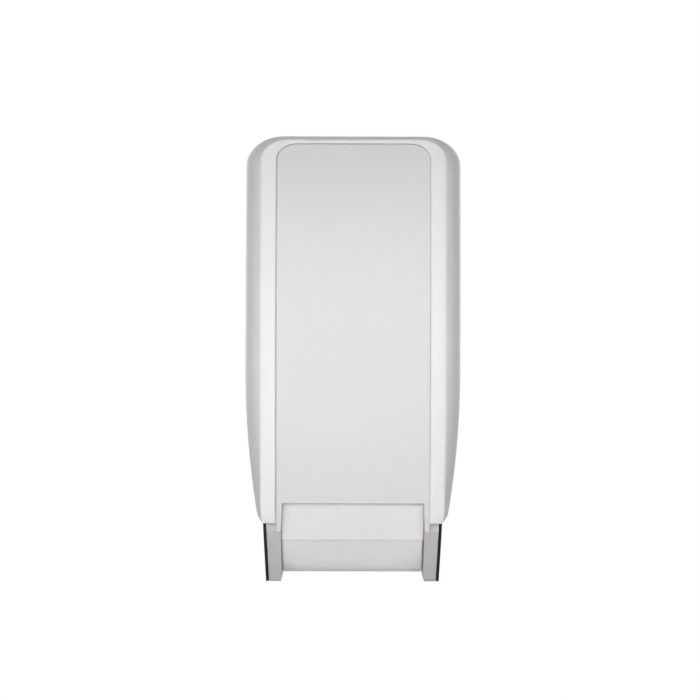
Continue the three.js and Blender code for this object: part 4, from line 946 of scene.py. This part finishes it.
# %% Wound rolls and cores
ROLL_DEPTH, ROLL_RADIUS, ROLL_HALF = 72.0, 60.0, 48.9
CORE_RADIUS, CORE_WALL, CORE_HALF, SEAT_RADIUS = 20.0, 1.2, 47.2, 24.3
SOFT_EDGE, SKIN_DROP, SEAT_EASE, CORE_FIT, CORE_EASE = 1.3, 0.2, 0.35, 0.3, 0.2
ROLL_SIDES, SKIN_RINGS, CORNER_RINGS, CORE_SIDES, LOWER_SHIFT = 180, 48, 9, 96, -0.15
LAYERS, LAYER_NOISE, LAYER_WAVE, LAYER_RATE = 60, 0.06, 0.07, 2.1
END_SINK, LEAST_SINK, WARP, WAVE_ACROSS, ACROSS_RATE, WAVE_ROUND = 0.22, 0.02, 0.05, 0.048, 0.21, 0.0336
LOWER, UPPER = 65.5, 195.5
random = np.random.default_rng(7)


def revolve(skin, x, radius, height):
    """Carries a closed profile round the roll's axis; x and radius have the shape (points, sides)."""
    angle = once_round(radius.shape[1])
    points = place(x, ROLL_DEPTH + radius * np.cos(angle), height + radius * np.sin(angle))
    skin.grid(points, close_rows=True, close_columns=True)


def wound_roll(name, height, body, node, shift=0.0):
    """Paper roll: ends with rings of layers, a seat pressed in by each plug, and a skin with slow waves."""
    angle = once_round(ROLL_SIDES)
    flat_half, flat_radius = ROLL_HALF - SKIN_DROP - SOFT_EDGE, ROLL_RADIUS - SKIN_DROP - SOFT_EDGE
    end_radius = np.linspace(SEAT_RADIUS, flat_radius, LAYERS)[:, None]
    layers = random.normal(0, LAYER_NOISE, end_radius.shape) + LAYER_WAVE * np.sin(end_radius * LAYER_RATE)
    phase = random.uniform(0, 2 * np.pi, 3)
    warp = sum(WARP * np.sin(k * angle + phase[k - 1]) for k in (1, 2, 3))
    end_x = ROLL_HALF - np.clip(END_SINK + layers + warp, LEAST_SINK, None)
    end_r = end_radius + 0 * angle
    corner = np.linspace(0, np.pi / 2, CORNER_RINGS)[1:-1, None] + 0 * angle
    edge_x, edge_r = flat_half + SOFT_EDGE * np.cos(corner), flat_radius + SOFT_EDGE * np.sin(corner)
    skin_x = np.linspace(-flat_half, flat_half, SKIN_RINGS)[:, None] + 0 * angle
    wave = WAVE_ACROSS * np.sin(skin_x * ACROSS_RATE + phase[0]) + WAVE_ROUND * np.sin(2 * angle + phase[1])
    skin_r = np.minimum(ROLL_RADIUS - SKIN_DROP + wave, ROLL_RADIUS)
    seat = np.array([(CORE_HALF + SEAT_EASE, SEAT_RADIUS), (CORE_HALF, SEAT_RADIUS - SEAT_EASE),
                     (CORE_HALF, CORE_RADIUS + CORE_FIT)])
    seat_x, seat_r = np.repeat(seat.T[:, :, None], ROLL_SIDES, axis=2)
    paper_x = np.concatenate([-end_x, -edge_x, skin_x, edge_x[::-1], end_x[::-1]]) + shift
    x = np.concatenate([paper_x, seat_x, -seat_x[::-1]])
    r = np.concatenate([end_r, edge_r, skin_r, edge_r[::-1], end_r[::-1], seat_r, seat_r[::-1]])
    skin = Skin()
    revolve(skin, x, r, height)
    # the roll wears the tissue copy that is painted a tone darker as shade
    roll = piece(name, skin.mesh(name), body, shaded_roll_tissue, [node], angle=math.radians(60))
    beside_cad(roll, node)
    return roll


def core_tube(name, height, body, node):
    """Cardboard core: a thin tube with slightly soft edges."""
    half, outer_r, inner_r = CORE_HALF, CORE_RADIUS, CORE_RADIUS - CORE_WALL
    short, high, low = half - CORE_EASE, outer_r - CORE_EASE, inner_r + CORE_EASE
    profile = np.array([(-half, low), (-half, high), (-short, outer_r), (short, outer_r),
                        (half, high), (half, low), (short, inner_r), (-short, inner_r)])
    skin = Skin()
    revolve(skin, *np.repeat(profile.T[:, :, None], CORE_SIDES, axis=2), height)
    piece(name, skin.mesh(name), body, cardboard, [node])


lower_roll = wound_roll("lower_wound_roll", LOWER, "lower_roll", "lower_paper_roll", LOWER_SHIFT)
wound_roll("upper_wound_roll", UPPER, "upper_roll", "upper_paper_roll")
core_tube("lower_core_tube", LOWER, "lower_roll", "lower_core")
core_tube("upper_core_tube", UPPER, "upper_roll", "upper_core")

# %% [markdown]
# ## The loose end
#
# The last sheet leaves the roll behind the window's lip and hangs a little free of it, down to a torn
# edge. Tissue tears along its fibres, so the edge is a slow wave with small ragged bites. The sheet is a
# function of two parameters: across the roll, and along the paper round it.

# %% Hanging sheet
TAIL_START, TAIL_END, TAIL_HALF = math.radians(24), math.radians(-38), 48.95
TAIL_CLEAR, TAIL_SETTLE, TAIL_RIPPLE = 0.4, 0.22, 0.033
TORN_SHARE, TORN_LIMIT, BITE_POINTS, BITE_SIZE, PLIES = 0.975, 0.8, 5, 0.3, 0.2
TORN_WAVES = [(0.28, 9.5, 0.6), (0.18, 23.0, 1.9)]
RIPPLES = [(1.0, 6.1, 1.0), (0.6, 14.0, 0.0)]


def waves(shapes, where):
    """A sum of sine waves, each given by its size, rate and lag."""
    return sum(size * np.sin(where * rate + lag) for size, rate, lag in shapes)


across = np.linspace(-1, 1, 121)
along = np.linspace(0, 1, 49)[:, None]
bites = random.normal(0, 1, across.size + BITE_POINTS - 1)
ragged = np.convolve(bites, np.ones(BITE_POINTS) / BITE_POINTS, "valid")
torn = waves(TORN_WAVES, across) + BITE_SIZE * ragged
torn = np.clip(torn, -TORN_LIMIT, TORN_LIMIT) / (ROLL_RADIUS * (TAIL_START - TAIL_END))
share = along * (TORN_SHARE + torn * along ** 3)
angle = mix(TAIL_START, TAIL_END, share)
radius = ROLL_RADIUS + TAIL_CLEAR - TAIL_SETTLE * share ** 2 + TAIL_RIPPLE * along ** 2 * waves(RIPPLES, across)
tail_x = across * TAIL_HALF + 0 * share
tail_points = place(tail_x, ROLL_DEPTH + radius * np.cos(angle), LOWER + radius * np.sin(angle))
tail_skin = Skin()
tail_skin.grid(tail_points)
loose_end = piece("paper_loose_end", tail_skin.mesh("paper_loose_end"), "lower_roll", tissue,
                  ["paper_tail"], angle=math.radians(80))
thickness = loose_end.modifiers.new("two plies", "SOLIDIFY")
thickness.thickness, thickness.offset = PLIES * MM, 0.0
beside_cad(loose_end, "paper_tail")

# %% [markdown]
# ## The catch spring
#
# A torsion spring is one length of wire: a leg, a close coil round the shaft, and a second leg. Its
# middle line is a function of the wire's length, and a small circle carried along it gives the wire.

# %% Spring wire
WIRE, COIL, COIL_TURNS, LEG = 0.6, 4.1, 6.25, 12.0
SHAFT_DEPTH, SHAFT_HEIGHT = 15.0, 144.0
MOVING_X, FIXED_X = -51.4, -39.4
COIL_LENGTH, WIRE_STEPS = COIL_TURNS * 2 * np.pi * COIL, 340


def spring_line(gone):
    """Point on the wire's middle line after a length: straight leg, helix round the shaft, straight leg."""
    wound = np.clip(gone - LEG, 0, COIL_LENGTH)
    angle = np.pi / 2 + wound / COIL
    x = mix(MOVING_X, FIXED_X, wound / COIL_LENGTH)
    depth = SHAFT_DEPTH + COIL * np.cos(angle) + np.maximum(0, LEG - gone)
    height = SHAFT_HEIGHT + COIL * np.sin(angle) - np.maximum(0, gone - LEG - COIL_LENGTH)
    return np.stack([x, depth, height], axis=-1)


def carried_circle(line, radius, sides=12):
    """A circle carried along a line of points: each ring stands square to the line's direction."""
    direction = np.gradient(line, axis=0)
    direction /= np.linalg.norm(direction, axis=1, keepdims=True)
    side = np.cross(direction, [1.0, 0.0, 0.0])
    side /= np.maximum(np.linalg.norm(side, axis=1, keepdims=True), 1e-9)
    up = np.cross(direction, side)
    angle = once_round(sides)[None, :, None]
    return line[:, None, :] + radius * (np.cos(angle) * side[:, None, :] + np.sin(angle) * up[:, None, :])


wire = carried_circle(spring_line(np.linspace(0, 2 * LEG + COIL_LENGTH, WIRE_STEPS)), WIRE)
start_cap, end_cap = (ring.mean(1, keepdims=True) + 0 * ring for ring in (wire[:1], wire[-1:]))
wire = np.concatenate([start_cap, wire, end_cap])
spring_skin = Skin()
spring_skin.grid(metres(wire), close_columns=True)
spring_mesh = spring_skin.mesh("torsion_spring")
spring = placed("torsion_spring", spring_mesh)
spring_mesh.shade_smooth()
spring_mesh.materials.append(zinc_steel)
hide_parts("catch_spring")
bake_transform(spring)
beside_cad(spring, "catch_spring")

# %% [markdown]
# ## The chassis pieces
#
# The arms, cheeks, plate, pins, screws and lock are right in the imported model, whose meshes are loose
# triangles with hard edges. Each one is copied and merged, its flat faces are joined again, and a small
# Bevel gives the soft edges of a real moulding or a turned pin, which catch the light.

# %% Dressed copies of the CAD nodes
EDGE_ANGLE, FLAT_ANGLE = 30, 1


def dressed(node, finish, slot_name, width):
    """A merged copy of a CAD node with eased edges, standing for the node."""
    body = frame["nodes"][node]["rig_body"]
    data = frame["nodes"][node].data.copy()
    work = bmesh.new()
    work.from_mesh(data)
    bmesh.ops.remove_doubles(work, verts=work.verts, dist=MERGE)
    bmesh.ops.dissolve_limit(work, angle_limit=math.radians(FLAT_ANGLE), verts=work.verts, edges=work.edges)
    work.to_mesh(data)
    work.free()
    shown = piece(node + "_dressed", data, body, finish, [node], math.radians(EDGE_ANGLE))
    soften(shown, width, segments=2, angle=EDGE_ANGLE)


DRESS = {
    "back_plate": (chassis_dark, "chassis_dark", 0.3),
    "left_cheek": (cheek_black, "cheek_black", 0.3), "right_cheek": (cheek_black, "cheek_black", 0.3),
    "left_arm_trim": (arm_grey, "arm_grey", 0.35), "right_arm_trim": (arm_grey, "arm_grey", 0.35),
    "left_catch": (arm_grey, "arm_grey", 0.25), "right_catch": (arm_grey, "arm_grey", 0.25),
    "lock_body": (nickel, "nickel", 0.2), "lock_nut": (nickel, "nickel", 0.2),
    "lock_plug": (nickel, "nickel", 0.15), "lock_cam": (zinc_steel, "steel", 0.15),
}
METAL_NODES = ("_screw_1", "_screw_2", "_hinge_pin", "release_shaft", "release_bar", "cam_screw")
for node in frame["nodes"]:
    if node.endswith(METAL_NODES):
        DRESS[node] = (zinc_steel, "steel", 0.12)
    elif node.endswith("_plug") and node != "lock_plug":
        DRESS[node] = (plug_plastic, "plug_plastic", 0.2)
for node, settings in DRESS.items():
    dressed(node, *settings)
print(len(DRESS), "dressed nodes")

# %% [markdown]
# ## The finished size
#
# The box round every shown piece of the object, leaving out the stage, is measured. The picture may only
# be dressed, never resized: the finished model has to fit the imported model's box.

# %% The finished box
low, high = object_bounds()
